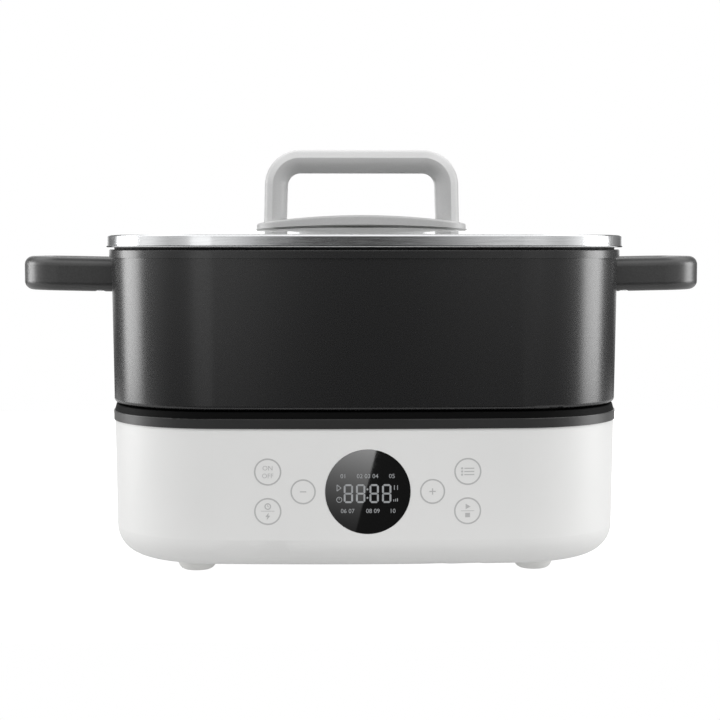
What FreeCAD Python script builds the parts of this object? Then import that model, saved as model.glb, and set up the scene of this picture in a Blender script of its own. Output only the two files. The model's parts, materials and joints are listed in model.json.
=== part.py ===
"""Electric hot pot: a heating base, a lift-off square pot and a glass lid with a bridge handle.

Millimetres. The origin is the centre of the footprint on the table. +X runs to the right, along
the line of the two pot handles, +Y to the back, where the mains inlet is, and +Z up.
"""
import FreeCAD, Part

import math
import os

from FreeCAD import Vector
from Sketcher import Constraint

document = FreeCAD.newDocument("HotPot")
sheet = document.addObject("Spreadsheet::Sheet", "Sizes")
pieces = []


# ---------------------------------------------------------------- driving sizes

driving_sizes = {
    # Plan of every square piece: four long bows joined by four tight corners, all tangent.
    # "Half" is the distance from the middle to the crown of a bow.
    "housing_half": 145.0, "side_bow": 1297.0, "corner_bow": 63.1,
    # Housing and feet
    "housing_height": 76.2, "housing_wall": 2.8, "housing_draft": 0.8, "housing_edge": 16.0,
    "foot_height": 8.4, "foot_radius": 10.0, "foot_taper": 2.2, "foot_edge": 1.0,
    "foot_inset": 49.7, "stem_radius": 4.0, "barb_radius": 5.2, "barb_height": 4.0,
    "slot_length": 46.0, "slot_width": 3.0, "slot_pitch": 9.0, "slot_count": 7, "slot_reach": 45.0,
    "post_radius": 5.0, "post_height": 24.0, "post_land": 4.0, "post_inset": 27.0,
    "post_reach": 50.0,
    # Trim ring, and the dark deck that closes the housing and holds the heater
    "trim_height": 5.3, "trim_edge": 0.4, "deck_overhang": 0.6, "deck_ledge": 0.5,
    "deck_height": 3.7, "deck_draft": 15.0, "deck_plate": 3.6, "deck_edge": 0.8, "deck_lip": 4.0,
    "deck_lip_wall": 2.0, "fit_gap": 0.25, "well_clearance": 2.0,
    # Heater and its temperature sensor
    "plate_thickness": 7.0, "plate_clearance": 2.0, "plate_edge": 1.0, "element_circle": 60.0,
    "element_tube": 3.3, "element_sweep": 320.0, "element_tail": 36.0, "leg_radius": 5.0,
    "leg_ring": 76.0, "leg_count": 3, "hanger_length": 9.0, "hanger_radius": 4.0,
    "hanger_ring": 100.0, "reflector_sheet": 1.0, "reflector_depth": 28.0,
    "reflector_floor": 84.0, "reflector_mouth": 93.0, "reflector_flange": 106.0,
    "reflector_hub": 8.0, "lead_hole": 5.5, "seal_lip": 2.5,
    "seal_drop": 0.3, "seal_height": 3.4, "sensor_radius": 15.8, "sensor_wall": 1.5,
    "sensor_travel": 2.0, "sensor_gap": 1.5, "sensor_flange": 19.0, "stop_gap": 0.3,
    "guide_radius": 22.0, "guide_height": 22.0, "guide_wall": 1.2, "spring_radius": 10.0,
    "spring_wire": 0.7, "spring_turns": 5, "fuse_radius": 2.5, "fuse_length": 12.0,
    "fuse_reach": 50.0,
    # Pot
    "pot_gap": 0.8, "pot_overhang": 0.2, "pot_height": 81.4, "pot_draft": 0.8, "pot_wall": 3.0,
    "pot_floor": 4.0, "pot_edge": 2.2, "pot_inner_edge": 12.0, "pot_rim_height": 4.6,
    "pot_rim_overhang": 1.2, "pot_rim_edge": 0.8, "pot_groove": 0.5, "pot_groove_height": 1.0,
    "seat_radius": 90.0, "seat_depth": 3.9, "seat_edge": 1.0,
    # Pot handles, one open loop on each side
    "loop_reach": 56.5, "loop_half_depth": 48.0, "loop_bar": 11.0, "loop_height": 20.0,
    "loop_drop": 0.4, "loop_rise": 1.2, "loop_corner": 24.0, "loop_inner_corner": 13.0,
    "loop_edge": 5.2, "loop_reveal": 0.8, "lug_length": 16.0, "lug_width": 5.4, "lug_height": 11.0,
    "lug_screw_reach": 9.0,
    # Lid
    "lid_gap": 1.2, "lid_overhang": 1.7, "band_height": 7.0, "band_sheet": 0.8, "band_edge": 1.2,
    "band_low_edge": 1.0,
    "band_lip": 9.2, "band_step": 4.6, "spigot_depth": 4.9, "spigot_gap": 0.5,
    "glass_thickness": 3.6, "glass_gap": 0.1, "glass_inset": 2.0, "crown_height": 6.6,
    "crown_share": 0.92, "glass_hole": 3.0, "vent_reach": 75.0, "vent_hole": 4.0, "vent_wall": 1.0,
    "vent_flange": 7.5, "vent_sheet": 0.8,
    # Lid handle
    "saddle_length": 129.0, "saddle_width": 36.0, "saddle_end_height": 3.4, "saddle_sag": 5.0,
    "saddle_clearance": 0.15, "saddle_edge": 1.4, "gasket_thickness": 0.8, "gasket_corner": 9.0,
    "grip_width": 117.6, "grip_splay": 1.0, "grip_height": 39.8, "grip_bar": 13.8,
    "grip_depth": 26.0, "grip_corner": 21.5, "grip_inner_corner": 7.5, "grip_bevel": 5.0,
    "grip_bevel_depth": 3.6, "grip_bevel_edge": 5.0, "grip_land": 0.4, "recess_depth": 1.6,
    "socket_gap": 0.1,
    "washer_radius": 7.0, "washer_thickness": 1.2, "washer_drop": 0.5,
    # Front panel
    "display_radius": 22.9, "display_height": 50.6, "window_flange": 2.5, "window_rear": 1.5,
    "window_gap": 0.35, "key_column": 53.8, "key_inner_column": 34.8, "key_row": 10.7,
    "touch_radius": 5.0, "touch_gap": 0.4, "module_width": 32.0, "module_height": 18.0,
    "module_depth": 7.2, "panel_board_width": 150.0, "panel_board_height": 54.0,
    "board_thickness": 1.6, "panel_board_setback": 10.5, "board_inset": 5.0, "buzzer_radius": 6.0,
    "buzzer_height": 7.0, "buzzer_inset": 25.0,
    # Power board and what stands on it
    "board_level": 24.0, "board_width": 120.0, "board_depth": 80.0, "board_centre": 35.0,
    "standoff_radius": 4.0, "relay_width": 19.5, "relay_depth": 15.5, "relay_height": 15.8,
    "relay_reach": 38.0, "transformer_width": 30.0, "transformer_depth": 26.0,
    "transformer_height": 22.0, "capacitor_width": 26.0, "capacitor_depth": 10.0,
    "capacitor_height": 18.0, "component_line": 22.0, "tab_width": 6.3, "tab_thickness": 0.8,
    "tab_height": 9.0, "ribbon_width": 16.0, "ribbon_thickness": 0.8, "ribbon_rise": 5.0,
    # Mains inlet and leads
    "inlet_level": 46.0, "inlet_width": 27.2, "inlet_height": 19.6, "inlet_depth": 20.0,
    "inlet_wall": 1.6, "inlet_floor": 3.0, "inlet_corner": 4.0, "inlet_flange_width": 50.0,
    "inlet_flange_height": 23.0, "inlet_flange": 2.6, "inlet_screw_spacing": 40.0,
    "pin_width": 4.0, "pin_thickness": 2.0, "pin_spacing": 7.0, "pin_offset": 2.0, "pin_tip": 3.0,
    "pin_tail": 8.0, "lead_radius": 1.5, "lead_bend": 6.0,
    # Fasteners
    "screw_radius": 1.5, "screw_head": 3.0, "screw_head_height": 2.2, "screw_gap": 0.1,
    "screw_bite": 10.0, "panel_screw_bite": 7.0, "panel_hole_depth": 8.0, "counterbore_spare": 0.5,
}
for row, (name, value) in enumerate(driving_sizes.items(), 1):
    sheet.set(f"A{row}", name)
    sheet.set(f"B{row}", str(value))
    sheet.setAlias(f"B{row}", name)
document.recompute()


class Size:
    """A length or angle that knows its value and the spreadsheet expression behind it."""

    def __init__(self, value, text=None):
        self.value = float(value)
        self.text = text or repr(float(value))

    def combine(self, other, sign, result):
        other = as_size(other)
        return Size(result(self.value, other.value), f"({self.text} {sign} {other.text})")

    def __add__(self, other):
        return self.combine(other, "+", lambda a, b: a + b)

    def __sub__(self, other):
        return self.combine(other, "-", lambda a, b: a - b)

    def __mul__(self, other):
        return self.combine(other, "*", lambda a, b: a * b)

    def __truediv__(self, other):
        return self.combine(other, "/", lambda a, b: a / b)

    def __neg__(self):
        return Size(-self.value, f"(0 - {self.text})")


def as_size(number):
    return number if isinstance(number, Size) else Size(number)


def root(number):
    return Size(math.sqrt(number.value), f"sqrt({number.text})")


def tangent(angle):
    return Size(math.tan(math.radians(angle.value)), f"tan({angle.text})")


class SheetSizes:
    """The spreadsheet's driving sizes, by name."""

    def __getattr__(self, alias):
        return Size(sheet.get(alias), "Sizes." + alias)


size = SheetSizes()


# ---------------------------------------------------------------- sketches and features

def new_body(label):
    body = document.addObject("PartDesign::Body", label)
    body.Label = label
    pieces.append(body)
    return body


def sketch_on(body, role, offset=None):
    """A sketch on one of the body's own origin planes, moved along its normal by offset."""
    sketch = body.newObject("Sketcher::SketchObject", body.Label + "_sketch")
    plane = next(item for item in body.Origin.OriginFeatures if item.Role == role)
    sketch.AttachmentSupport = [(plane, "")]
    sketch.MapMode = "FlatFace"
    if offset is not None:
        sketch.setExpression(".AttachmentOffset.Base.z", as_size(offset).text)
    return sketch


def hold(sketch, kind, *where, value):
    """Add a dimension to a sketch and bind it to its expression."""
    index = sketch.addConstraint(Constraint(kind, *where, value.value))
    sketch.setExpression(f"Constraints[{index}]", value.text)


def hold_point(sketch, geometry, end, u, v):
    """Hold a sketch point at (u, v) from the sketch's origin."""
    for kind, axis, place in (("DistanceX", -2, as_size(u)), ("DistanceY", -1, as_size(v))):
        if place.value == 0:
            sketch.addConstraint(Constraint("PointOnObject", geometry, end, axis))
        elif place.value > 0:
            hold(sketch, kind, -1, 1, geometry, end, value=place)
        else:
            hold(sketch, kind, geometry, end, -1, 1, value=-place)


def outline(sketch, points):
    """A closed outline of straight lines through points."""
    first = sketch.GeometryCount
    places = [(as_size(u), as_size(v)) for u, v in points]
    corners = [Vector(u.value, v.value, 0) for u, v in places]
    for start, end in zip(corners, corners[1:] + corners[:1]):
        sketch.addGeometry(Part.LineSegment(start, end))
    for number, (u, v) in enumerate(places):
        following = first + (number + 1) % len(places)
        sketch.addConstraint(Constraint("Coincident", first + number, 2, following, 1))
        hold_point(sketch, first + number, 1, u, v)


def rectangle(sketch, u, v, width, height):
    """A rectangle centred on (u, v)."""
    left, right = as_size(u) - width / 2, as_size(u) + width / 2
    low, high = as_size(v) - height / 2, as_size(v) + height / 2
    outline(sketch, [(left, low), (right, low), (right, high), (left, high)])


def circle(sketch, u, v, radius):
    centre = Vector(as_size(u).value, as_size(v).value, 0)
    index = sketch.addGeometry(Part.Circle(centre, Vector(0, 0, 1), radius.value))
    hold_point(sketch, index, 3, u, v)
    hold(sketch, "Radius", index, value=radius)


def square_plan(sketch, half, share=None):
    """The rounded square: four bows and four corner arcs, tangent all round.

    Two such plans of different half lie parallel. With share, the whole plan is scaled by it.
    """
    growth = half - size.housing_half
    bow, corner = size.side_bow + growth, size.corner_bow + growth
    if share is not None:
        half, bow, corner = (length * share for length in (half, bow, corner))
    reach = half.value - bow.value
    spare = 4 * reach ** 2 - 8 * (reach ** 2 - (bow.value - corner.value) ** 2)
    seat = (2 * reach + math.sqrt(spare)) / 4
    turn = math.atan2(seat, seat - reach)
    first = sketch.GeometryCount
    for quarter in range(4):
        spin = -quarter * math.pi / 2
        arcs = ((0, reach, bow, math.pi / 2 - turn, math.pi / 2 + turn),
                (seat, seat, corner, turn, math.pi / 2 - turn))
        for u, v, radius, start, end in arcs:
            centre = Vector(u * math.cos(spin) - v * math.sin(spin),
                            u * math.sin(spin) + v * math.cos(spin), 0)
            whole = Part.Circle(centre, Vector(0, 0, 1), radius.value)
            sketch.addGeometry(Part.ArcOfCircle(whole, start + spin, end + spin))
    for quarter in range(4):
        side, corner_arc = first + 2 * quarter, first + 2 * quarter + 1
        following = first + (2 * quarter + 2) % 8
        sketch.addConstraint(Constraint("Tangent", corner_arc, 2, side, 1))
        sketch.addConstraint(Constraint("Tangent", following, 2, corner_arc, 1))
        if quarter:
            sketch.addConstraint(Constraint("Equal", first, side))
            sketch.addConstraint(Constraint("Equal", first + 1, corner_arc))
    hold(sketch, "Radius", first, value=bow)
    hold(sketch, "Radius", first + 1, value=corner)
    inset = bow - half
    hold_point(sketch, first, 3, 0, -inset)
    hold_point(sketch, first + 2, 3, -inset, 0)
    hold_point(sketch, first + 4, 3, 0, inset)
    hold_point(sketch, first + 6, 3, inset, 0)


def feature_of(body, kind, sketch=None, **lengths):
    """Add a PartDesign feature, bind its lengths and compute it."""
    feature = body.newObject("PartDesign::" + kind, f"{body.Label}_{kind.lower()}")
    if sketch is not None:
        feature.Profile = sketch
    for name, length in lengths.items():
        feature.setExpression(name, as_size(length).text)
    return feature


def pad(body, sketch, length, taper=None, side="One side", reverse=False):
    feature = feature_of(body, "Pad", sketch, Length=length)
    if taper is not None:
        feature.setExpression("TaperAngle", taper.text)
    feature.SideType = side
    feature.Reversed = reverse
    document.recompute()
    return feature


def pocket(body, sketch, length=None, taper=None, side="One side", reverse=False):
    """Cut along the sketch's normal, through everything where no length is given."""
    feature = feature_of(body, "Pocket", sketch)
    if length is None:
        feature.Type = "ThroughAll"
    else:
        feature.setExpression("Length", length.text)
    if taper is not None:
        feature.setExpression("TaperAngle", taper.text)
    feature.SideType = side
    feature.Reversed = reverse
    document.recompute()
    return feature


def revolve(body, sketch, angle=360):
    feature = feature_of(body, "Revolution", sketch, Angle=angle)
    feature.ReferenceAxis = (sketch, ["V_Axis"])
    document.recompute()
    return feature


def edges_where(feature, test):
    return [f"Edge{number}" for number, edge in enumerate(feature.Shape.Edges, 1)
            if test(edge.BoundBox)]


def lies_at(level):
    """A test for edges that lie flat at one height."""
    return lambda box: abs(box.ZMin - level.value) < 0.01 and abs(box.ZMax - level.value) < 0.01


def reach_of(box):
    """How far a box reaches from the middle, along X or Y."""
    return max(abs(box.XMin), abs(box.XMax), abs(box.YMin), abs(box.YMax))


def reach_across(box):
    """How far a box reaches from the middle along X."""
    return max(abs(box.XMin), abs(box.XMax))


def beyond(reach):
    """A test for edges that reach further from the middle than one distance."""
    return lambda box: reach_of(box) > reach.value + 0.1


def stands_at(reach):
    """A test for upright edges at one distance to the side."""
    return lambda box: (box.ZLength > 1 and abs(abs(box.XMin) - reach.value) < 0.1
                        and abs(abs(box.XMax) - reach.value) < 0.1)


def runs_along(axis):
    """A test for straight edges along one axis."""
    return lambda box: all(getattr(box, name + "Length") < 0.01 for name in "XYZ" if name != axis)


def both(first, second):
    """A test that passes where two others do."""
    return lambda box: first(box) and second(box)


def above(level):
    """A test for edges that lie wholly above one height."""
    return lambda box: box.ZMin > level.value - 0.01


def fillet(body, feature, radius, test):
    rounding = feature_of(body, "Fillet", Radius=radius)
    rounding.Base = (feature, edges_where(feature, test))
    document.recompute()
    return rounding


def chamfer(body, feature, across, down, test):
    """A bevel of two different widths."""
    bevel = feature_of(body, "Chamfer", Size=across, Size2=down)
    bevel.ChamferType = "Two distances"
    bevel.Base = (feature, edges_where(feature, test))
    document.recompute()
    return bevel


def place(item, x=0, y=0, z=0):
    for axis, length in zip("xyz", (x, y, z)):
        item.setExpression(f".Placement.Base.{axis}", as_size(length).text)


# ---------------------------------------------------------------- levels, from the table up

housing_bottom = size.foot_height
housing_floor = housing_bottom + size.housing_wall
housing_top = housing_bottom + size.housing_height
trim_top = housing_top + size.trim_height
deck_top = trim_top + size.deck_height
pot_bottom = deck_top + size.pot_gap
seat_level = pot_bottom - size.seat_depth
pot_shoulder = pot_bottom + size.pot_height
pot_top = pot_shoulder + size.pot_rim_height
band_bottom = pot_top + size.lid_gap
band_top = band_bottom + size.band_height


# ---------------------------------------------------------------- plan sizes that pieces share

def wall_at(level):
    """Half the housing's outside at one level of its drafted wall."""
    return size.housing_half - (housing_top - level) * tangent(size.housing_draft)


def bow_fall(reach):
    """How far a bow has fallen back from its crown, at a distance along the side."""
    return size.side_bow - root(size.side_bow * size.side_bow - reach * reach)


def four_places(u, v):
    return [(u, v), (-u, v), (-u, -v), (u, -v)]


def places_round(radius, count):
    """Evenly spaced places on a circle, the first at the front."""
    turns = [2 * math.pi * number / int(count.value) for number in range(int(count.value))]
    return [(radius * math.sin(turn), radius * -math.cos(turn)) for turn in turns]


housing_inside = size.housing_half - size.housing_wall
post_top = housing_floor + size.post_height
post_seat = post_top - size.post_land
post_places = four_places(size.housing_half - size.post_inset, size.post_reach)
foot_reach = size.housing_half - size.foot_inset
screw_hole = size.screw_radius + size.screw_gap

deck_half = size.housing_half + size.deck_overhang
deck_underside = deck_top - size.deck_plate
well_radius = size.seat_radius + size.well_clearance

plate_radius = size.seat_radius - size.plate_clearance
plate_underside = seat_level - size.plate_thickness
plate_hole = size.sensor_radius + size.sensor_gap
hanger_foot = deck_underside - size.hanger_length
reflector_top = hanger_foot - size.reflector_depth
leg_places = places_round(size.leg_ring, size.leg_count)
hanger_places = places_round(size.hanger_ring, size.leg_count)
tail_turn = math.radians((360 - size.element_sweep.value) / 2)
tail_places = [(size.element_circle * (side * math.sin(tail_turn)),
                size.element_circle * math.cos(tail_turn)) for side in (-1, 1)]
tail_foot = plate_underside - size.element_tail

sensor_low = plate_underside - size.sensor_travel - size.stop_gap - size.sensor_wall

pot_low_half = size.housing_half + size.pot_overhang
pot_high_half = pot_low_half + size.pot_height * tangent(size.pot_draft)
pot_rim_half = pot_high_half + size.pot_rim_overhang
mouth_half = pot_high_half - size.pot_wall

loop_top = pot_shoulder - size.loop_drop
loop_foot = loop_top - size.loop_height
loop_middle = loop_top - size.loop_height / 2
loop_end = pot_high_half + size.loop_reach
lug_line = size.loop_half_depth - size.loop_bar / 2
lug_end = pot_high_half + size.lug_length
lug_screw_line = pot_high_half + size.lug_screw_reach

band_half = pot_rim_half + size.lid_overhang
band_lip_half = band_half - size.band_lip
spigot_half = mouth_half - size.spigot_gap
glass_half = band_half - size.glass_inset
glass_top = band_top - size.band_sheet - size.glass_gap
glass_low = glass_top - size.glass_thickness
crown_half = glass_half * size.crown_share


# Where the crown's plans lie, as shares of its half width from its foot to near the middle.
crown_stations = (1.0, 0.86, 0.7, 0.54, 0.38, 0.22, 0.08)


def crown_rise(reach):
    """The glass's height above its flat edge, at a distance from the middle."""
    share = reach / crown_half
    flat = Size(1) - share * share
    return size.crown_height * flat * flat


def crown_slope(reach):
    """The glass's slope in degrees at a distance from the middle."""
    step = 0.5
    fall = crown_rise(reach - step).value - crown_rise(reach + step).value
    return math.degrees(math.atan(fall / (2 * step)))


half_saddle = size.saddle_length / 2
base_sag = crown_rise(Size(0)) - crown_rise(half_saddle) - size.saddle_clearance
gasket_low = glass_top + crown_rise(Size(0)) + size.glass_gap
saddle_low = gasket_low + size.gasket_thickness + size.glass_gap
saddle_end = saddle_low - base_sag + size.saddle_end_height
saddle_high = saddle_end + size.saddle_sag
grip_half = size.grip_width / 2
grip_leg = grip_half + size.grip_splay - size.grip_bar / 2
grip_top = saddle_high + size.grip_height
washer_top = glass_low + crown_rise(grip_leg) - size.washer_drop
recess_level = (saddle_high - size.saddle_sag * (grip_leg * grip_leg)
                / (half_saddle * half_saddle) - size.recess_depth)

panel_face = size.housing_half - size.housing_wall - size.panel_board_setback
panel_rear = panel_face - size.board_thickness
panel_bosses = [(u, size.display_height + v) for u, v in four_places(
    size.panel_board_width / 2 - size.board_inset, size.panel_board_height / 2 - size.board_inset)]
key_places = [(size.key_column, size.key_row), (size.key_column, -size.key_row),
              (-size.key_column, size.key_row), (-size.key_column, -size.key_row),
              (size.key_inner_column, Size(0)), (-size.key_inner_column, Size(0))]

board_top = size.board_level + size.board_thickness
board_corners = [(u, size.board_centre + v) for u, v in four_places(
    size.board_width / 2 - size.board_inset, size.board_depth / 2 - size.board_inset)]
tab_top = board_top + size.tab_height
mains_line = size.board_centre + size.board_depth / 2 - size.board_inset - size.lead_radius
mains_columns = [-size.pin_spacing, Size(0), size.pin_spacing]

inlet_face = wall_at(size.inlet_level + size.inlet_flange_height / 2)
inlet_rear = inlet_face - size.inlet_depth


# ---------------------------------------------------------------- shared shapes

def screws(label, places, role, seat, bite, head_first=False):
    """A set of screws on one plane: heads on one side of the seat, shanks on the other."""
    body = new_body(label)
    shanks = sketch_on(body, role, seat)
    heads = sketch_on(body, role, seat)
    for u, v in places:
        circle(shanks, u, v, size.screw_radius)
        circle(heads, u, v, size.screw_head)
    pad(body, shanks, bite, reverse=head_first)
    pad(body, heads, size.screw_head_height, reverse=not head_first)
    return body


def holes(body, places, radius, role, level, depth=None, reverse=False, side="One side"):
    """Round holes of one radius, cut from a plane."""
    rings = sketch_on(body, role, level)
    for u, v in places:
        circle(rings, u, v, radius)
    return pocket(body, rings, depth, reverse=reverse, side=side)


def rods(body, places, radius, role, level, length, reverse=False):
    """Round rods of one radius, raised from a plane."""
    rings = sketch_on(body, role, level)
    for u, v in places:
        circle(rings, u, v, radius)
    return pad(body, rings, length, reverse=reverse)


def block(label, u, v, width, depth, level, height):
    """A plain block standing at one level."""
    body = new_body(label)
    base = sketch_on(body, "XY_Plane", level)
    rectangle(base, u, v, width, depth)
    return pad(body, base, height)


# ---------------------------------------------------------------- base

def base_housing():
    """The moulded bowl: drafted walls, a soft bottom edge, posts, slots and openings."""
    body = new_body("base_housing")
    plan = sketch_on(body, "XY_Plane", housing_top)
    square_plan(plan, size.housing_half)
    pad(body, plan, size.housing_height, taper=-size.housing_draft, reverse=True)
    inside = sketch_on(body, "XY_Plane", housing_top)
    square_plan(inside, housing_inside)
    hollow = pocket(body, inside, size.housing_height - size.housing_wall,
                    taper=-size.housing_draft)
    soft = fillet(body, hollow, size.housing_edge - size.housing_wall, lies_at(housing_floor))
    fillet(body, soft, size.housing_edge, lies_at(housing_bottom))
    rods(body, post_places, size.post_radius, "XY_Plane", housing_floor, size.post_height)
    rods(body, board_corners, size.standoff_radius, "XY_Plane", housing_floor,
         size.board_level - housing_floor)
    wall_middle = (wall_at(size.display_height) - bow_fall(panel_bosses[0][0])
                   - size.housing_wall / 2)
    rods(body, panel_bosses, size.standoff_radius, "XZ_Plane", panel_face,
         wall_middle - panel_face)
    holes(body, post_places, screw_hole, "XY_Plane", housing_bottom, reverse=True)
    holes(body, post_places, size.screw_head + size.fit_gap, "XY_Plane", housing_bottom,
          post_seat - housing_bottom, reverse=True)
    holes(body, board_corners, screw_hole, "XY_Plane", size.board_level, size.screw_bite)
    holes(body, panel_bosses, screw_hole, "XZ_Plane", panel_face, size.panel_hole_depth,
          reverse=True)
    holes(body, four_places(foot_reach, foot_reach),
          size.stem_radius + size.screw_gap, "XY_Plane", housing_bottom, size.housing_wall,
          reverse=True)
    holes(body, [(0, size.display_height)], size.display_radius + size.screw_gap, "XZ_Plane",
          panel_face, reverse=True)
    opening = sketch_on(body, "XZ_Plane", -inlet_rear)
    rectangle(opening, 0, size.inlet_level, size.inlet_width + size.fit_gap * 2,
              size.inlet_height + size.fit_gap * 2)
    pocket(body, opening)
    holes(body, [(side * size.inlet_screw_spacing / 2, size.inlet_level) for side in
                 (Size(-1), Size(1))], screw_hole, "XZ_Plane", -inlet_rear)
    slots = sketch_on(body, "XY_Plane", housing_bottom)
    first_column = -size.slot_pitch * (size.slot_count - 1) / 2
    for line in (size.slot_reach, -size.slot_reach):
        rectangle(slots, first_column, line, size.slot_width, size.slot_length)
    slot = pocket(body, slots, size.housing_wall, reverse=True)
    row = feature_of(body, "LinearPattern", Length=size.slot_pitch * (size.slot_count - 1),
                     Occurrences=size.slot_count)
    row.Originals = [slot]
    row.Direction = (slots, ["H_Axis"])
    body.Tip = row
    document.recompute()


def foot(label, x, y):
    """A soft foot: a tapered pad with a barbed stem pushed through the housing's floor."""
    body = new_body(label)
    half = sketch_on(body, "XZ_Plane")
    tread = size.foot_radius - size.foot_taper
    barb_top = housing_floor + size.barb_height
    outline(half, [(0, 0), (tread - size.foot_edge, 0), (tread, size.foot_edge),
                   (size.foot_radius, housing_bottom), (size.stem_radius, housing_bottom),
                   (size.stem_radius, housing_floor), (size.barb_radius, housing_floor),
                   (size.stem_radius - size.foot_edge, barb_top), (0, barb_top)])
    revolve(body, half)
    place(body, x, y)


def trim_ring():
    """The matt ring clamped between the white housing and the dark deck."""
    body = new_body("trim_ring")
    plan = sketch_on(body, "XY_Plane", housing_top)
    square_plan(plan, deck_half)
    ring = pad(body, plan, size.trim_height)
    fillet(body, ring, size.trim_edge, lies_at(trim_top))
    inside = sketch_on(body, "XY_Plane", trim_top)
    square_plan(inside, housing_inside)
    pocket(body, inside)


def deck_ring():
    """The dark deck: a shallow cover with a well for the pot's seat, bosses and hangers."""
    body = new_body("deck_ring")
    plan = sketch_on(body, "XY_Plane", trim_top)
    square_plan(plan, deck_half - size.deck_ledge)
    slab = pad(body, plan, size.deck_height, taper=-size.deck_draft)
    fillet(body, slab, size.deck_edge, lies_at(deck_top))
    lip = sketch_on(body, "XY_Plane", trim_top)
    square_plan(lip, housing_inside - size.fit_gap)
    pad(body, lip, size.trim_height + size.deck_lip, reverse=True)
    inside = sketch_on(body, "XY_Plane", housing_top - size.deck_lip)
    square_plan(inside, housing_inside - size.fit_gap - size.deck_lip_wall)
    pocket(body, inside, deck_underside - housing_top + size.deck_lip, reverse=True)
    rods(body, post_places, size.post_radius, "XY_Plane", deck_underside,
         deck_underside - post_top, reverse=True)
    rods(body, hanger_places, size.hanger_radius, "XY_Plane", deck_underside,
         size.hanger_length, reverse=True)
    holes(body, post_places, screw_hole, "XY_Plane", post_top, size.screw_bite, reverse=True)
    holes(body, hanger_places, screw_hole, "XY_Plane", hanger_foot, size.hanger_length,
          reverse=True)
    holes(body, [(0, 0)], well_radius, "XY_Plane", deck_top)


def heating_plate():
    """The cast plate: a disc with a sensor hole, a groove for the element and three legs."""
    body = new_body("heating_plate")
    half = sketch_on(body, "XZ_Plane")
    outline(half, [(plate_hole, plate_underside), (plate_radius, plate_underside),
                   (plate_radius, seat_level - size.plate_edge),
                   (plate_radius - size.plate_edge, seat_level), (plate_hole, seat_level)])
    revolve(body, half)
    bead = sketch_on(body, "XZ_Plane")
    circle(bead, size.element_circle, plate_underside, size.element_tube + size.screw_gap)
    groove = feature_of(body, "Groove", bead, Angle=360)
    groove.ReferenceAxis = (bead, ["V_Axis"])
    document.recompute()
    rods(body, leg_places, size.leg_radius, "XY_Plane", plate_underside,
         plate_underside - reflector_top, reverse=True)
    holes(body, leg_places, screw_hole, "XY_Plane", reflector_top, size.screw_bite,
          reverse=True)


def heating_element():
    """The tubular element: an open ring in the plate's groove, its two ends turned down."""
    body = new_body("heating_element")
    bead = sketch_on(body, "YZ_Plane")
    circle(bead, -size.element_circle, plate_underside, size.element_tube)
    ring = revolve(body, bead, size.element_sweep)
    ring.Midplane = True
    document.recompute()
    rods(body, tail_places, size.element_tube, "XY_Plane", plate_underside, size.element_tail,
         reverse=True)


def plate_seal():
    """The silicone ring between the plate and the deck's well, hooked under the deck."""
    body = new_body("plate_seal")
    half = sketch_on(body, "XZ_Plane")
    inner = plate_radius + size.screw_gap
    outer = well_radius - size.screw_gap
    top = seat_level - size.seal_drop
    lip_top = deck_underside - size.screw_gap
    outline(half, [(inner, top - size.seal_height), (outer + size.seal_lip,
                                                     top - size.seal_height),
                   (outer + size.seal_lip, lip_top), (outer, lip_top), (outer, top),
                   (inner, top)])
    revolve(body, half)


def heat_reflector():
    """The pressed dish that hangs from the deck and carries the plate on its floor."""
    body = new_body("heat_reflector")
    half = sketch_on(body, "XZ_Plane")
    sheet_low = reflector_top - size.reflector_sheet
    outline(half, [(size.reflector_hub, sheet_low), (size.reflector_floor, sheet_low),
                   (size.reflector_mouth, hanger_foot - size.reflector_sheet),
                   (size.reflector_flange, hanger_foot - size.reflector_sheet),
                   (size.reflector_flange, hanger_foot),
                   (size.reflector_mouth - size.reflector_sheet, hanger_foot),
                   (size.reflector_floor - size.reflector_sheet, reflector_top),
                   (size.reflector_hub, reflector_top)])
    revolve(body, half)
    holes(body, leg_places + hanger_places, screw_hole, "XY_Plane", 0, side="Symmetric")
    holes(body, tail_places, size.lead_hole, "XY_Plane", 0, side="Symmetric")


def sensor_guide():
    """The cup that holds the sensor's spring on the reflector's floor."""
    body = new_body("sensor_guide")
    half = sketch_on(body, "XZ_Plane")
    top = reflector_top + size.guide_height
    floor = reflector_top + size.guide_wall
    outline(half, [(size.reflector_hub, reflector_top), (size.guide_radius, reflector_top),
                   (size.guide_radius, top), (size.guide_radius - size.guide_wall, top),
                   (size.guide_radius - size.guide_wall, floor), (size.reflector_hub, floor)])
    revolve(body, half)


def sensor_cap():
    """The spring-loaded sensor: a cap that stands level with the plate under the pot."""
    body = new_body("sensor_cap")
    half = sketch_on(body, "XZ_Plane")
    inner = size.sensor_radius - size.sensor_wall
    outline(half, [(inner, sensor_low), (size.sensor_flange, sensor_low),
                   (size.sensor_flange, sensor_low + size.sensor_wall),
                   (size.sensor_radius, sensor_low + size.sensor_wall),
                   (size.sensor_radius, seat_level), (0, seat_level),
                   (0, seat_level - size.sensor_wall), (inner, seat_level - size.sensor_wall)])
    revolve(body, half)


def sensor_spring():
    """The coil spring between the guide's floor and the sensor's cap."""
    body = new_body("sensor_spring")
    foot_level = reflector_top + size.guide_wall + size.spring_wire + size.screw_gap
    head_level = seat_level - size.sensor_wall - size.spring_wire - size.screw_gap
    wire = sketch_on(body, "XZ_Plane")
    circle(wire, size.spring_radius, foot_level, size.spring_wire)
    coil = feature_of(body, "AdditiveHelix", wire, Height=head_level - foot_level,
                      Turns=size.spring_turns)
    coil.Mode = "height-turns-angle"
    coil.ReferenceAxis = (wire, ["V_Axis"])
    document.recompute()


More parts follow.
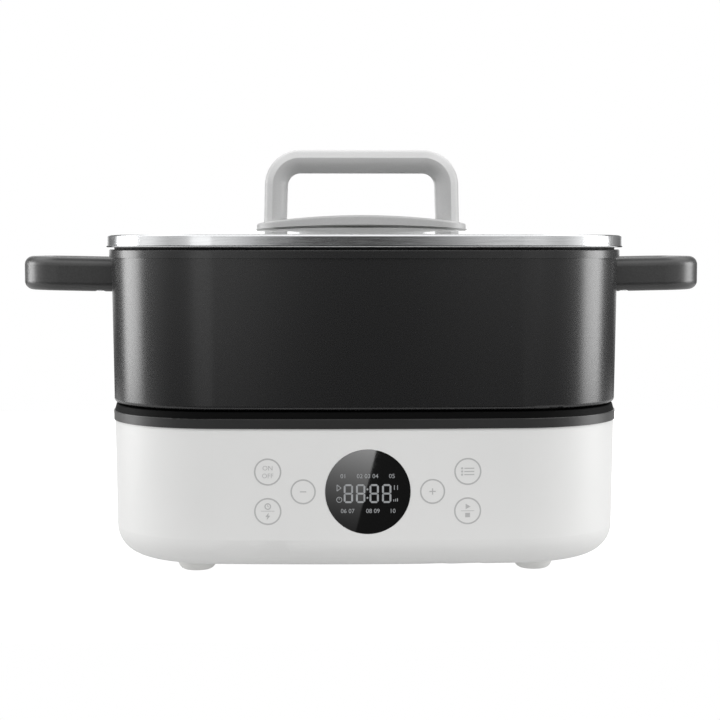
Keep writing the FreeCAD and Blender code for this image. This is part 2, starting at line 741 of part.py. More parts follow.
def thermal_fuse():
    """The one-shot fuse that lies against the reflector's underside."""
    body = new_body("thermal_fuse")
    end = sketch_on(body, "YZ_Plane")
    circle(end, -size.fuse_reach, reflector_top - size.reflector_sheet - size.fuse_radius
           - size.screw_gap, size.fuse_radius)
    pad(body, end, size.fuse_length, side="Symmetric")


# ---------------------------------------------------------------- power board and mains

def power_board():
    body = new_body("power_board")
    base = sketch_on(body, "XY_Plane", size.board_level)
    rectangle(base, 0, size.board_centre, size.board_width, size.board_depth)
    pad(body, base, size.board_thickness)
    holes(body, board_corners, screw_hole, "XY_Plane", board_top)


def board_components():
    """The relay, transformer and filter capacitor, in one line across the board."""
    block("relay", -size.relay_reach, size.component_line, size.relay_width,
          size.relay_depth, board_top, size.relay_height)
    block("transformer", 0, size.component_line, size.transformer_width,
          size.transformer_depth, board_top, size.transformer_height)
    block("filter_capacitor", size.relay_reach, size.component_line, size.capacitor_width,
          size.capacitor_depth, board_top, size.capacitor_height)


def board_tabs():
    """Blade terminals: three for the mains and two for the element."""
    body = new_body("board_tabs")
    blades = sketch_on(body, "XY_Plane", board_top)
    for u, v in [(column, mains_line) for column in mains_columns] + tail_places:
        rectangle(blades, u, v, size.tab_thickness, size.tab_width)
    pad(body, blades, size.tab_height)


def element_leads():
    """Short sleeved leads from the element's ends straight down to their tabs."""
    body = new_body("element_leads")
    rods(body, tail_places, size.lead_radius, "XY_Plane", tab_top, tail_foot - tab_top)


def mains_leads():
    """Three sleeved leads from the inlet's pins, forward and down to the board's tabs."""
    body = new_body("mains_leads")
    start = inlet_rear - size.pin_tail
    bend = size.lead_bend
    for column in mains_columns:
        path = sketch_on(body, "YZ_Plane", column)
        turn_y, turn_z = mains_line + bend, size.inlet_level - bend
        along = path.addGeometry(Part.LineSegment(
            Vector(start.value, size.inlet_level.value, 0),
            Vector(turn_y.value, size.inlet_level.value, 0)))
        corner = Part.Circle(Vector(turn_y.value, turn_z.value, 0), Vector(0, 0, 1), bend.value)
        arc = path.addGeometry(Part.ArcOfCircle(corner, math.pi / 2, math.pi))
        down = path.addGeometry(Part.LineSegment(
            Vector(mains_line.value, turn_z.value, 0), Vector(mains_line.value, tab_top.value, 0)))
        path.addConstraint(Constraint("Tangent", along, 2, arc, 1))
        path.addConstraint(Constraint("Tangent", arc, 2, down, 1))
        hold_point(path, along, 1, start, size.inlet_level)
        hold_point(path, arc, 3, turn_y, turn_z)
        hold_point(path, down, 2, mains_line, tab_top)
        section = sketch_on(body, "XZ_Plane", -start)
        circle(section, column, size.inlet_level, size.lead_radius)
        document.recompute()
        lead = feature_of(body, "AdditivePipe", section)
        lead.Spine = (path, [])
        document.recompute()


def power_inlet():
    """The appliance inlet: a flanged box with a socket recess, set into the rear wall."""
    body = new_body("power_inlet")
    flange = sketch_on(body, "XZ_Plane", -inlet_face)
    rectangle(flange, 0, size.inlet_level, size.inlet_flange_width, size.inlet_flange_height)
    plate = pad(body, flange, size.inlet_flange, reverse=True)
    fillet(body, plate, size.inlet_corner, runs_along("Y"))
    shell = sketch_on(body, "XZ_Plane", -inlet_face)
    rectangle(shell, 0, size.inlet_level, size.inlet_width, size.inlet_height)
    pad(body, shell, size.inlet_depth)
    recess = sketch_on(body, "XZ_Plane", -inlet_face - size.inlet_flange)
    rectangle(recess, 0, size.inlet_level, size.inlet_width - size.inlet_wall * 2,
              size.inlet_height - size.inlet_wall * 2)
    pocket(body, recess, size.inlet_flange + size.inlet_depth - size.inlet_floor,
           reverse=True)
    blades = sketch_on(body, "XZ_Plane", -inlet_rear)
    pin_sections(blades, size.screw_gap)
    pocket(body, blades, size.inlet_floor)
    holes(body, [(side * size.inlet_screw_spacing / 2, size.inlet_level) for side in
                 (Size(-1), Size(1))], screw_hole, "XZ_Plane", 0)


def pin_sections(sketch, spare):
    """The three pins' sections: line and neutral in a row, earth a little below."""
    for column, drop in zip(mains_columns, (Size(0), size.pin_offset, Size(0))):
        rectangle(sketch, column, size.inlet_level - drop, size.pin_thickness + spare * 2,
                  size.pin_width + spare * 2)


def inlet_pins():
    """Flat pins that stand in the recess and run out behind as tabs."""
    body = new_body("inlet_pins")
    blades = sketch_on(body, "XZ_Plane", -inlet_rear + size.pin_tail)
    pin_sections(blades, Size(0))
    pad(body, blades, size.pin_tail + size.inlet_depth + size.inlet_flange - size.pin_tip,
        reverse=True)


# ---------------------------------------------------------------- front panel

def display_window():
    """The round window, flush in the front wall and leaning with its draft."""
    body = new_body("display_window")
    face = sketch_on(body, "XZ_Plane")
    circle(face, 0, 0, size.display_radius)
    rear_face = size.housing_wall + size.window_gap
    pad(body, face, rear_face, reverse=True)
    rods(body, [(0, 0)], size.display_radius + size.window_flange, "XZ_Plane", -rear_face,
         size.window_rear, reverse=True)
    place(body, 0, -wall_at(size.display_height), size.display_height)
    lean = FreeCAD.Rotation(Vector(1, 0, 0), size.housing_draft.value)
    body.Placement = FreeCAD.Placement(body.Placement.Base, lean)


def control_board():
    body = new_body("control_board")
    face = sketch_on(body, "XZ_Plane", panel_rear)
    rectangle(face, 0, size.display_height, size.panel_board_width, size.panel_board_height)
    pad(body, face, size.board_thickness)
    holes(body, panel_bosses, screw_hole, "XZ_Plane", panel_face)


def display_module():
    """The digit display on the control board, close behind the window."""
    body = new_body("display_module")
    face = sketch_on(body, "XZ_Plane", panel_face)
    rectangle(face, 0, size.display_height, size.module_width, size.module_height)
    pad(body, face, size.module_depth)


def touch_springs():
    """Six coil contacts that reach from the board to the wall behind each key."""
    body = new_body("touch_springs")
    for column, row in key_places:
        level = size.display_height + row
        wall_inside = wall_at(level) - bow_fall(column) - size.housing_wall
        rods(body, [(column, level)], size.touch_radius, "XZ_Plane", panel_face,
             wall_inside - size.touch_gap - panel_face)


def buzzer():
    body = new_body("buzzer")
    rods(body, [(size.panel_board_width / 2 - size.buzzer_inset, size.display_height)],
         size.buzzer_radius, "XZ_Plane", panel_rear, size.buzzer_height, reverse=True)


def ribbon_cable():
    """The flat lead that joins the two boards: back at one level, then down."""
    body = new_body("ribbon_cable")
    side = sketch_on(body, "YZ_Plane")
    low = board_top + size.ribbon_rise
    end = size.board_centre - size.board_depth / 2 + size.board_inset
    sheet_depth = size.ribbon_thickness
    outline(side, [(-panel_rear, low), (end, low), (end, board_top),
                   (end + sheet_depth, board_top), (end + sheet_depth, low + sheet_depth),
                   (-panel_rear, low + sheet_depth)])
    pad(body, side, size.ribbon_width, side="Symmetric")


# ---------------------------------------------------------------- pot

def pot_shell():
    """The cast pot: drafted square walls, a banded rim, a round seat and handle lugs."""
    body = new_body("pot_shell")
    plan = sketch_on(body, "XY_Plane", pot_bottom)
    square_plan(plan, pot_low_half)
    pad(body, plan, size.pot_height, taper=size.pot_draft)
    rim = sketch_on(body, "XY_Plane", pot_shoulder)
    square_plan(rim, pot_rim_half)
    pad(body, rim, size.pot_rim_height)
    inside = sketch_on(body, "XY_Plane", pot_top)
    square_plan(inside, mouth_half)
    floor_level = pot_bottom + size.pot_floor
    hollow = pocket(body, inside, pot_top - floor_level, taper=-size.pot_draft)
    soft = fillet(body, hollow, size.pot_inner_edge, lies_at(floor_level))
    soft = fillet(body, soft, size.pot_edge, lies_at(pot_bottom))
    fillet(body, soft, size.pot_rim_edge, both(lies_at(pot_top), beyond(mouth_half)))
    groove = sketch_on(body, "XY_Plane", pot_shoulder)
    square_plan(groove, pot_rim_half)
    square_plan(groove, pot_high_half - size.pot_groove)
    pocket(body, groove, size.pot_groove_height)
    seat = rods(body, [(0, 0)], size.seat_radius, "XY_Plane", pot_bottom, size.seat_depth,
                reverse=True)
    fillet(body, seat, size.seat_edge, lies_at(seat_level))
    for side in (1, -1):
        lugs = sketch_on(body, "YZ_Plane", (mouth_half + size.pot_wall / 2) * side)
        for line in (lug_line, -lug_line):
            rectangle(lugs, line, loop_middle, size.lug_width, size.lug_height)
        pad(body, lugs, lug_end - mouth_half - size.pot_wall / 2, reverse=side < 0)
    holes(body, four_places(lug_screw_line, lug_line), screw_hole, "XY_Plane",
          loop_middle - size.lug_height / 2, size.lug_height, reverse=True)


def rims_of_loop(box):
    """A test for a handle's long upper and lower edges, away from the pot's wall."""
    return (box.ZLength < size.loop_height.value / 2
            and reach_across(box) > (pot_high_half + size.loop_edge).value)


def pot_handle(label, side):
    """An open loop handle: a U in plan, slightly rising, pushed over two lugs."""
    body = new_body(label)
    across = sketch_on(body, "XZ_Plane")
    root_line = mouth_half
    outline(across, [(root_line * side, loop_foot), (loop_end * side,
                                                     loop_foot + size.loop_rise),
                     (loop_end * side, loop_top + size.loop_rise),
                     (root_line * side, loop_top)])
    bar = pad(body, across, size.loop_half_depth * 2, side="Symmetric")
    fillet(body, bar, size.loop_corner, stands_at(loop_end))
    gap = sketch_on(body, "XY_Plane")
    inner_end = loop_end - size.loop_bar
    inner_half = size.loop_half_depth - size.loop_bar
    near_end = (root_line - size.pot_wall) * side
    outline(gap, [(near_end, -inner_half), (inner_end * side, -inner_half),
                  (inner_end * side, inner_half), (near_end, inner_half)])
    opening = pocket(body, gap, side="Symmetric")
    fillet(body, opening, size.loop_inner_corner, stands_at(inner_end))
    wall = sketch_on(body, "XY_Plane")
    square_plan(wall, pot_high_half + size.loop_reveal)
    shaped = pocket(body, wall, side="Symmetric")
    fillet(body, shaped, size.loop_edge, rims_of_loop)
    lug_root = sketch_on(body, "YZ_Plane", mouth_half * side)
    for line in (lug_line, -lug_line):
        rectangle(lug_root, line, loop_middle, size.lug_width + size.fit_gap * 2,
                  size.lug_height + size.fit_gap * 2)
    pocket(body, lug_root, lug_end + size.fit_gap - mouth_half, reverse=side > 0)
    screw_places = [(lug_screw_line * side, line) for line in (lug_line, -lug_line)]
    holes(body, screw_places, screw_hole, "XY_Plane", loop_foot, size.loop_height / 2,
          reverse=True)
    holes(body, screw_places, size.screw_head + size.fit_gap, "XY_Plane", loop_foot,
          size.screw_head_height + size.counterbore_spare, reverse=True)


# ---------------------------------------------------------------- lid

def lid_rim():
    """The rolled steel band: it grips the glass and hangs into the pot's mouth."""
    body = new_body("lid_rim")
    path = sketch_on(body, "XY_Plane", band_bottom)
    square_plan(path, band_half)
    sheet_depth = size.band_sheet
    section = [(band_half, band_bottom), (band_half, band_top), (band_lip_half, band_top),
               (band_lip_half, band_top - sheet_depth),
               (band_half - sheet_depth, band_top - sheet_depth),
               (band_half - sheet_depth, band_bottom + sheet_depth),
               (spigot_half - sheet_depth, band_bottom + sheet_depth),
               (spigot_half - sheet_depth, pot_top - size.spigot_depth),
               (spigot_half, pot_top - size.spigot_depth), (spigot_half, band_bottom)]
    half = sketch_on(body, "YZ_Plane")
    outline(half, [(-reach, level) for reach, level in section])
    document.recompute()
    band = feature_of(body, "AdditivePipe", half)
    band.Spine = (path, [])
    document.recompute()
    rolled = fillet(body, band, size.band_edge, both(lies_at(band_top), beyond(band_lip_half)))
    fillet(body, rolled, size.band_low_edge, both(lies_at(band_bottom), beyond(spigot_half)))


def lid_seal():
    """The black silicone ring under the band, on which the lid rests on the pot's rim."""
    body = new_body("lid_seal")
    ring = sketch_on(body, "XY_Plane", pot_top)
    square_plan(ring, band_half - size.band_step)
    square_plan(ring, spigot_half)
    pad(body, ring, size.lid_gap)


def rim_gasket():
    """The silicone channel that the glass's edge sits on inside the band."""
    body = new_body("rim_gasket")
    outer = sketch_on(body, "XY_Plane", band_bottom + size.band_sheet)
    square_plan(outer, band_half - size.band_sheet - size.glass_gap)
    pad(body, outer, glass_low - size.glass_gap - band_bottom - size.band_sheet)
    inner = sketch_on(body, "XY_Plane", band_top)
    square_plan(inner, spigot_half - size.band_sheet)
    pocket(body, inner)


def crown_sections(body, level):
    """Plans that climb the glass's crown from its flat edge to near the middle."""
    sections = []
    for share in crown_stations:
        reach = crown_half * share
        section = sketch_on(body, "XY_Plane", level + crown_rise(reach))
        square_plan(section, glass_half, size.crown_share * share)
        sections.append(section)
    document.recompute()
    return sections


def lid_glass():
    """The pressed glass: a flat square edge that swells into a low crown."""
    body = new_body("lid_glass")
    plan = sketch_on(body, "XY_Plane", glass_low)
    square_plan(plan, glass_half)
    pad(body, plan, size.glass_thickness)
    for kind, level in (("AdditiveLoft", glass_top), ("SubtractiveLoft", glass_low)):
        sections = crown_sections(body, level)
        dome = feature_of(body, kind, sections[0])
        dome.Sections = sections[1:]
        document.recompute()
    holes(body, [(grip_leg, 0), (-grip_leg, 0)], size.glass_hole, "XY_Plane", grip_top)
    holes(body, [(0, size.vent_reach)], size.vent_hole, "XY_Plane", grip_top)


def steam_vent():
    """The flanged grommet that lines the glass's steam hole, square to the slope there."""
    body = new_body("steam_vent")
    half = sketch_on(body, "XZ_Plane")
    sheet_depth = size.vent_sheet
    inner = size.vent_hole - size.vent_wall - size.fit_gap
    collar = size.vent_hole - size.fit_gap
    rise = size.fit_gap
    fall = -(size.glass_thickness + size.fit_gap)
    outline(half, [(inner, fall - sheet_depth), (size.vent_flange, fall - sheet_depth),
                   (size.vent_flange, fall), (collar, fall), (collar, rise),
                   (size.vent_flange, rise), (size.vent_flange, rise + sheet_depth),
                   (inner, rise + sheet_depth)])
    revolve(body, half)
    place(body, 0, size.vent_reach, glass_top + crown_rise(size.vent_reach))
    lean = FreeCAD.Rotation(Vector(1, 0, 0), -crown_slope(size.vent_reach))
    body.Placement = FreeCAD.Placement(body.Placement.Base, lean)


def arched_bar(label, low, low_sag, high, high_sag, width, corner):
    """A bar along X between two arcs; low and high are the arcs' heights at mid-length."""
    body = new_body(label)
    side = sketch_on(body, "XZ_Plane")
    ends = []
    for middle, sag in ((low, low_sag), (high, high_sag)):
        bend = (half_saddle * half_saddle + sag * sag) / (sag * 2)
        whole = Part.Circle(Vector(0, (middle - bend).value, 0), Vector(0, 0, 1), bend.value)
        turn = math.asin(half_saddle.value / bend.value)
        arc = side.addGeometry(Part.ArcOfCircle(whole, math.pi / 2 - turn, math.pi / 2 + turn))
        hold_point(side, arc, 1, half_saddle, middle - sag)
        hold_point(side, arc, 2, -half_saddle, middle - sag)
        hold(side, "Radius", arc, value=bend)
        ends.append((arc, (middle - sag).value))
    (lower, low_end), (upper, high_end) = ends
    reach = half_saddle.value
    right = side.addGeometry(Part.LineSegment(Vector(reach, low_end, 0),
                                              Vector(reach, high_end, 0)))
    left = side.addGeometry(Part.LineSegment(Vector(-reach, high_end, 0),
                                             Vector(-reach, low_end, 0)))
    side.addConstraint(Constraint("Coincident", lower, 1, right, 1))
    side.addConstraint(Constraint("Coincident", right, 2, upper, 1))
    side.addConstraint(Constraint("Coincident", upper, 2, left, 1))
    side.addConstraint(Constraint("Coincident", left, 2, lower, 2))
    bar = pad(body, side, width, side="Symmetric")
    return body, fillet(body, bar, corner, runs_along("Z"))


def handle_saddle():
    """The arched plate under the lid handle, with a recess for each leg."""
    body, bar = arched_bar("handle_saddle", saddle_low, base_sag, saddle_high,
                           size.saddle_sag, size.saddle_width,
                           size.saddle_width / 2 - size.saddle_edge)
    fillet(body, bar, size.saddle_edge, above(saddle_end))
    seats = sketch_on(body, "XY_Plane", grip_top)
    for leg in (grip_leg, -grip_leg):
        rectangle(seats, leg, 0, size.grip_bar + size.socket_gap * 2,
                  size.grip_depth + size.socket_gap * 2)
    pocket(body, seats, grip_top - recess_level)
    holes(body, [(grip_leg, 0), (-grip_leg, 0)], size.glass_hole, "XY_Plane", grip_top)


def saddle_gasket():
    """The thin silicone pad between the saddle and the glass."""
    body, bar = arched_bar("saddle_gasket", gasket_low, base_sag,
                           gasket_low + size.gasket_thickness, base_sag,
                           size.saddle_width - size.saddle_edge * 2, size.gasket_corner)
    holes(body, [(grip_leg, 0), (-grip_leg, 0)], size.glass_hole, "XY_Plane", grip_top)


def lid_handle():
    """The bridge handle: an arch, bevelled on its outer edges and rounded toward the fingers."""
    body = new_body("lid_handle")
    arch = sketch_on(body, "XZ_Plane")
    low_half = grip_half + size.grip_splay
    inner_top = grip_half - size.grip_bar
    inner_low = low_half - size.grip_bar
    under = grip_top - size.grip_bar
    outline(arch, [(low_half, recess_level), (grip_half, grip_top), (-grip_half, grip_top),
                   (-low_half, recess_level), (-inner_low, recess_level), (-inner_top, under),
                   (inner_top, under), (inner_low, recess_level)])
    solid = pad(body, arch, size.grip_depth, side="Symmetric")
    rounded = fillet(body, solid, size.grip_corner, both(runs_along("Y"), lies_at(grip_top)))
    rounded = fillet(body, rounded, size.grip_inner_corner,
                     both(runs_along("Y"), lies_at(under)))

    def on_arch(box):
        return box.YLength < 0.01 and box.ZMax > recess_level.value + 1

    def on_inner_arch(box):
        return on_arch(box) and reach_across(box) < inner_low.value + 0.1 and box.ZMax < (
            under.value + 0.1)

    def on_outer_arch(box):
        return on_arch(box) and not on_inner_arch(box)

    def on_bevel_foot(box):
        return on_arch(box) and abs(abs(box.YMin) - bevel_foot.value) < 0.01

    bevel_foot = size.grip_depth / 2 - size.grip_bevel_depth
    shaped = chamfer(body, rounded, size.grip_bevel_depth, size.grip_bevel, on_outer_arch)
    shaped = fillet(body, shaped, size.grip_bar - size.grip_bevel - size.grip_land, on_inner_arch)
    fillet(body, shaped, size.grip_bevel_edge, on_bevel_foot)
    holes(body, [(grip_leg, 0), (-grip_leg, 0)], screw_hole, "XY_Plane", recess_level,
          size.screw_bite * 2, reverse=True)


def handle_washers():
    """Silicone washers under the glass, one below each leg."""
    body = new_body("handle_washers")
    rings = sketch_on(body, "XY_Plane", washer_top)
    for leg in (grip_leg, -grip_leg):
        circle(rings, leg, 0, size.washer_radius)
        circle(rings, leg, 0, screw_hole)
    pad(body, rings, size.washer_thickness, reverse=True)


# ---------------------------------------------------------------- build and export

def build():
    base_housing()
    foot("foot_front_left", -foot_reach, -foot_reach)
    foot("foot_front_right", foot_reach, -foot_reach)
    foot("foot_rear_left", -foot_reach, foot_reach)
    foot("foot_rear_right", foot_reach, foot_reach)
    trim_ring()
    deck_ring()
    screws("deck_screws", post_places, "XY_Plane", post_seat, size.post_land + size.screw_bite)
    heating_plate()
    heating_element()
    plate_seal()
    heat_reflector()
    sheet_low = reflector_top - size.reflector_sheet
    screws("plate_screws", leg_places, "XY_Plane", sheet_low, size.screw_bite)
    screws("reflector_screws", hanger_places, "XY_Plane", hanger_foot - size.reflector_sheet,
           size.hanger_length)
    sensor_guide()
    sensor_spring()
    sensor_cap()
    thermal_fuse()
    power_board()
    board_components()
    board_tabs()
    screws("board_screws", board_corners, "XY_Plane", board_top, size.screw_bite, True)
    element_leads()
    mains_leads()
    power_inlet()
    inlet_pins()
    screws("inlet_screws", [(side * size.inlet_screw_spacing / 2, size.inlet_level)
                            for side in (Size(-1), Size(1))],
           "XZ_Plane", -inlet_face - size.inlet_flange, size.screw_bite)
    display_window()
    control_board()
    display_module()
    touch_springs()
    buzzer()
    screws("panel_screws", panel_bosses, "XZ_Plane", panel_rear, size.panel_screw_bite)
    ribbon_cable()
    pot_shell()
    pot_handle("left_handle", -1)
    pot_handle("right_handle", 1)
    screws("handle_screws", four_places(lug_screw_line, lug_line), "XY_Plane",
           loop_foot + size.screw_head_height + size.counterbore_spare, size.screw_bite)
    lid_rim()
    lid_seal()
    rim_gasket()
    lid_glass()
    steam_vent()
    handle_saddle()
    saddle_gasket()
    lid_handle()
    handle_washers()
    screws("lid_screws", [(grip_leg, 0), (-grip_leg, 0)], "XY_Plane",
           washer_top - size.washer_thickness, size.screw_bite * 2)


def check_and_export():
    """Stop on any failed object or bad solid, then write one STEP file per piece."""
    document.recompute()
    for item in document.Objects:
        if {"Invalid", "Error"} & set(item.State):
            raise RuntimeError(f"{item.Label} failed: {item.State}")
    for piece in pieces:
        if piece.Shape.isNull() or not piece.Shape.isValid() or not piece.Shape.Solids:
            raise RuntimeError(f"{piece.Label} has no valid solid")
    os.makedirs("parts", exist_ok=True)
    for piece in pieces:
        piece.Shape.exportStep(os.path.join("parts", piece.Label + ".step"))
        box = piece.Shape.BoundBox
        print(f"{piece.Label}: {len(piece.Shape.Solids)} solid(s), "
              f"{piece.Shape.Volume / 1000:.1f} cm3, z {box.ZMin:.1f} to {box.ZMax:.1f}")


build()
check_and_export()
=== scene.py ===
# %% [markdown]
# # Dressing an electric hot pot
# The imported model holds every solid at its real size. This lesson gives each one the finish of
# the material it is made of, adds the prints and the screw drives that are too fine for solids,
# turns rounder feet, and sets up the studio. Lengths are in metres unless a name ends in MM, with
# +X to the right, +Y to the back and +Z up.

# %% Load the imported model
import json
import math

import bmesh
import bpy
from mathutils import Matrix, Vector
from mathutils.bvhtree import BVHTree

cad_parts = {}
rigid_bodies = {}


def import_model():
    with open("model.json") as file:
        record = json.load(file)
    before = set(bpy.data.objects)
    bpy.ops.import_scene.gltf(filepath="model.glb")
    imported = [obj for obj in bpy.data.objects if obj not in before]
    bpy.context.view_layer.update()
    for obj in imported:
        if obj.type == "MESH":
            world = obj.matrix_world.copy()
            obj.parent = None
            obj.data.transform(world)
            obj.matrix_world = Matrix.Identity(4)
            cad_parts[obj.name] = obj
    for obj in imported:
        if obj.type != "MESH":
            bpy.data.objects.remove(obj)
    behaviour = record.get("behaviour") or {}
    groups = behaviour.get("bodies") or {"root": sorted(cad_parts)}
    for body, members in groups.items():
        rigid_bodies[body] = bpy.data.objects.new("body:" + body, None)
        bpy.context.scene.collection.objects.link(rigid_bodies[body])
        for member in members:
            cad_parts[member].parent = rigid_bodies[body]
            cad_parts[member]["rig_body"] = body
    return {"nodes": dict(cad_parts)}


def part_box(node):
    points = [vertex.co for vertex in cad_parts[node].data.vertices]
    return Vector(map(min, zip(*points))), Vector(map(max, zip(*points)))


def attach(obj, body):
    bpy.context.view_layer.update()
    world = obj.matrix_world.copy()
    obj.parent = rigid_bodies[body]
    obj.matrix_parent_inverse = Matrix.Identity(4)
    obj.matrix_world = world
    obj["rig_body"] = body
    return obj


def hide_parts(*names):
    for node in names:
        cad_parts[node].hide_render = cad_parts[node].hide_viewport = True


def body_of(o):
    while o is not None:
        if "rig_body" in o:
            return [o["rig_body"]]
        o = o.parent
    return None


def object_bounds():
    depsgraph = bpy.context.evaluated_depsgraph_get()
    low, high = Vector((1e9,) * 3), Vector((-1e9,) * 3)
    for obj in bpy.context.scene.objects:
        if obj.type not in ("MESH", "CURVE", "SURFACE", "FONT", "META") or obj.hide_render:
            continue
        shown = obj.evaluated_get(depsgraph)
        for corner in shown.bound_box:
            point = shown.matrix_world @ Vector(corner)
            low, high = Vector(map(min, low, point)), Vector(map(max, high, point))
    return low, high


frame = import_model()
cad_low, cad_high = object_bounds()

MM = 0.001
nodes = frame["nodes"]
print(f"{len(nodes)} nodes, {(cad_high - cad_low).x / MM:.1f} mm wide")

# %% [markdown]
# ## Small helpers
# Colours are chosen as sRGB hex values, the way a designer writes them, but shaders reckon in
# linear light, so one function converts them. Another adds a node to a tree: it takes the node's
# own settings and what goes into its sockets, named or numbered (_0 is the first), as a value or
# as another node's output. The rest build on these two.

# %% Colour and node helpers
def linear(hex_colour):
    """The linear red, green, blue and alpha of an sRGB hex colour."""
    channels = [int(hex_colour[start:start + 2], 16) / 255 for start in (1, 3, 5)]
    return [c / 12.92 if c <= 0.04045 else ((c + 0.055) / 1.055) ** 2.4 for c in channels] + [1.0]


def add_node(tree, kind, settings=None, **sockets):
    """Add a node; a socket's value is a number, a colour or the output that feeds it."""
    node = tree.nodes.new("ShaderNode" + kind)
    for name, value in (settings or {}).items():
        setattr(node, name, value)
    for name, value in sockets.items():
        socket = node.inputs[int(name[1:])] if name[1:].isdigit() else node.inputs[
            name.replace("_", " ")]
        if isinstance(value, bpy.types.NodeSocket):
            tree.links.new(value, socket)
        else:
            socket.default_value = value
    return node


def new_finish(name, colour, roughness, **sockets):
    """A material with one Principled shader, and the object's own coordinates for patterns."""
    finish = bpy.data.materials.new(name)
    finish.use_nodes = True
    tree = finish.node_tree
    shader = tree.nodes["Principled BSDF"]
    shader.inputs["Base Color"].default_value = linear(colour)
    shader.inputs["Roughness"].default_value = roughness
    for socket, value in sockets.items():
        shader.inputs[socket.replace("_", " ")].default_value = value
    place = add_node(tree, "TexCoord").outputs["Object"]
    return finish, tree, shader, place


def per_size(millimetres):
    """The texture scale that repeats once in so many millimetres."""
    return 1 / (millimetres * MM)


def ramp(tree, factor, low, high, dark, light):
    """A factor stretched from low..high onto two grey or colour values."""
    node = add_node(tree, "ValToRGB", Fac=factor)
    ends = node.color_ramp.elements
    ends[0].position, ends[0].color = low, linear(dark)
    ends[1].position, ends[1].color = high, linear(light)
    return node.outputs["Color"]


def span(tree, factor, low, high, first, last):
    """A factor from low..high turned into a number from first to last."""
    return add_node(tree, "MapRange", Value=factor, From_Min=low, From_Max=high, To_Min=first,
                    To_Max=last).outputs["Result"]


def soft_step(tree, value, low, high):
    """0 up to low, 1 from high on, and an S-shaped rise between."""
    return add_node(tree, "MapRange", {"interpolation_type": "SMOOTHSTEP"}, Value=value,
                    From_Min=low, From_Max=high).outputs["Result"]


def maths(tree, operation, first, second):
    """Two numbers or outputs put together by a Math node."""
    return add_node(tree, "Math", {"operation": operation}, _0=first, _1=second).outputs[0]


print("white is", linear("#ffffff"), "and mid grey is", round(linear("#808080")[0], 3))

# %% [markdown]
# ## Helpers for finishes
# Nearly every finish has a noise that varies its roughness and its colour a little and stands out
# of the surface as grain. A noise seldom leaves the middle of its range, so that middle is what
# gets stretched.
#
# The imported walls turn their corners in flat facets, and where a long facet meets a short one, a
# shiny wall shows a thin upright line. The Bevel node blends the facets' normals, but it would
# also round off the rims. So only its heading is used, the way a compass would read it, and the
# lean up or down is kept from the plain normal.

# %% Noise, grain and blended headings
NOISE_MIDDLE, NOISE_CORE = (0.3, 0.7), (0.35, 0.65)
BLEND_SAMPLES = 8


def noise(tree, place, size_mm, detail, **more):
    return add_node(tree, "TexNoise", Vector=place, Scale=per_size(size_mm), Detail=detail,
                    **more).outputs["Fac"]


def vary_roughness(tree, shader, pattern, first, last, limits=NOISE_MIDDLE):
    tree.links.new(span(tree, pattern, *limits, first, last), shader.inputs["Roughness"])


def vary_colour(tree, shader, pattern, dark, light, limits=NOISE_MIDDLE, socket="Base Color"):
    tree.links.new(ramp(tree, pattern, *limits, dark, light), shader.inputs[socket])


def raise_grain(tree, shader, height, depth_mm):
    """Let a pattern stand out of the surface by so many millimetres."""
    bump = add_node(tree, "Bump", Height=height, Distance=depth_mm * MM)
    tree.links.new(bump.outputs["Normal"], shader.inputs["Normal"])
    return bump


def blend_headings(tree, bump, reach_mm):
    """Blend the headings of a wall's facets and keep how far each leans up or down."""
    def vectors(operation, first, **others):
        return add_node(tree, "VectorMath", {"operation": operation}, _0=first, **others).outputs

    plain = add_node(tree, "NewGeometry").outputs["Normal"]
    blended = add_node(tree, "Bevel", {"samples": BLEND_SAMPLES},
                       Radius=reach_mm * MM).outputs["Normal"]
    level, blended_level = (vectors("MULTIPLY", normal, _1=(1, 1, 0))[0]
                            for normal in (plain, blended))
    heading = vectors("NORMALIZE", blended_level)[0]
    turned_level = vectors("SCALE", heading, Scale=vectors("LENGTH", level)["Value"])[0]
    lean = vectors("SUBTRACT", plain, _1=level)[0]
    tree.links.new(vectors("ADD", turned_level, _1=lean)[0], bump.inputs["Normal"])


print("noises are stretched from", NOISE_MIDDLE)

# %% [markdown]
# ## The camera
# A long lens a metre away, a little left of the middle and level with the pot's rim, looking
# slightly down. The focal length is given in pixels, for a frame 720 pixels wide, because then a
# thing's size in the picture is that number times its real size over its distance. The tilt and
# the turn come from where the horizon and the middle of the base fall in the frame.

# %% Camera
FRAME_PIXELS = 720
FOCAL_PIXELS = 1658
CAMERA_REACH = 1.028
CAMERA_HEIGHT = 0.1818
CAMERA_SIDE = math.radians(1.39)
HORIZON_PIXEL = 247
AIM_PIXEL = 361.4


def add_camera():
    """The camera, and how far it looks down."""
    data = bpy.data.cameras.new("studio_camera")
    data.sensor_width = 36
    data.lens = data.sensor_width * FOCAL_PIXELS / FRAME_PIXELS
    camera = bpy.data.objects.new("studio_camera", data)
    bpy.context.scene.collection.objects.link(camera)
    camera.location = (-CAMERA_REACH * math.sin(CAMERA_SIDE), -CAMERA_REACH * math.cos(CAMERA_SIDE),
                       CAMERA_HEIGHT)
    tilt = math.atan((FRAME_PIXELS / 2 - HORIZON_PIXEL) / FOCAL_PIXELS)
    turn = math.atan((AIM_PIXEL - FRAME_PIXELS / 2) / FOCAL_PIXELS)
    camera.rotation_euler = (math.pi / 2 - tilt, 0, turn - CAMERA_SIDE)
    bpy.context.scene.camera = camera
    return data, tilt


camera_data, camera_tilt = add_camera()
print(f"lens {camera_data.lens:.1f} mm, looking down {math.degrees(camera_tilt):.2f} degrees")

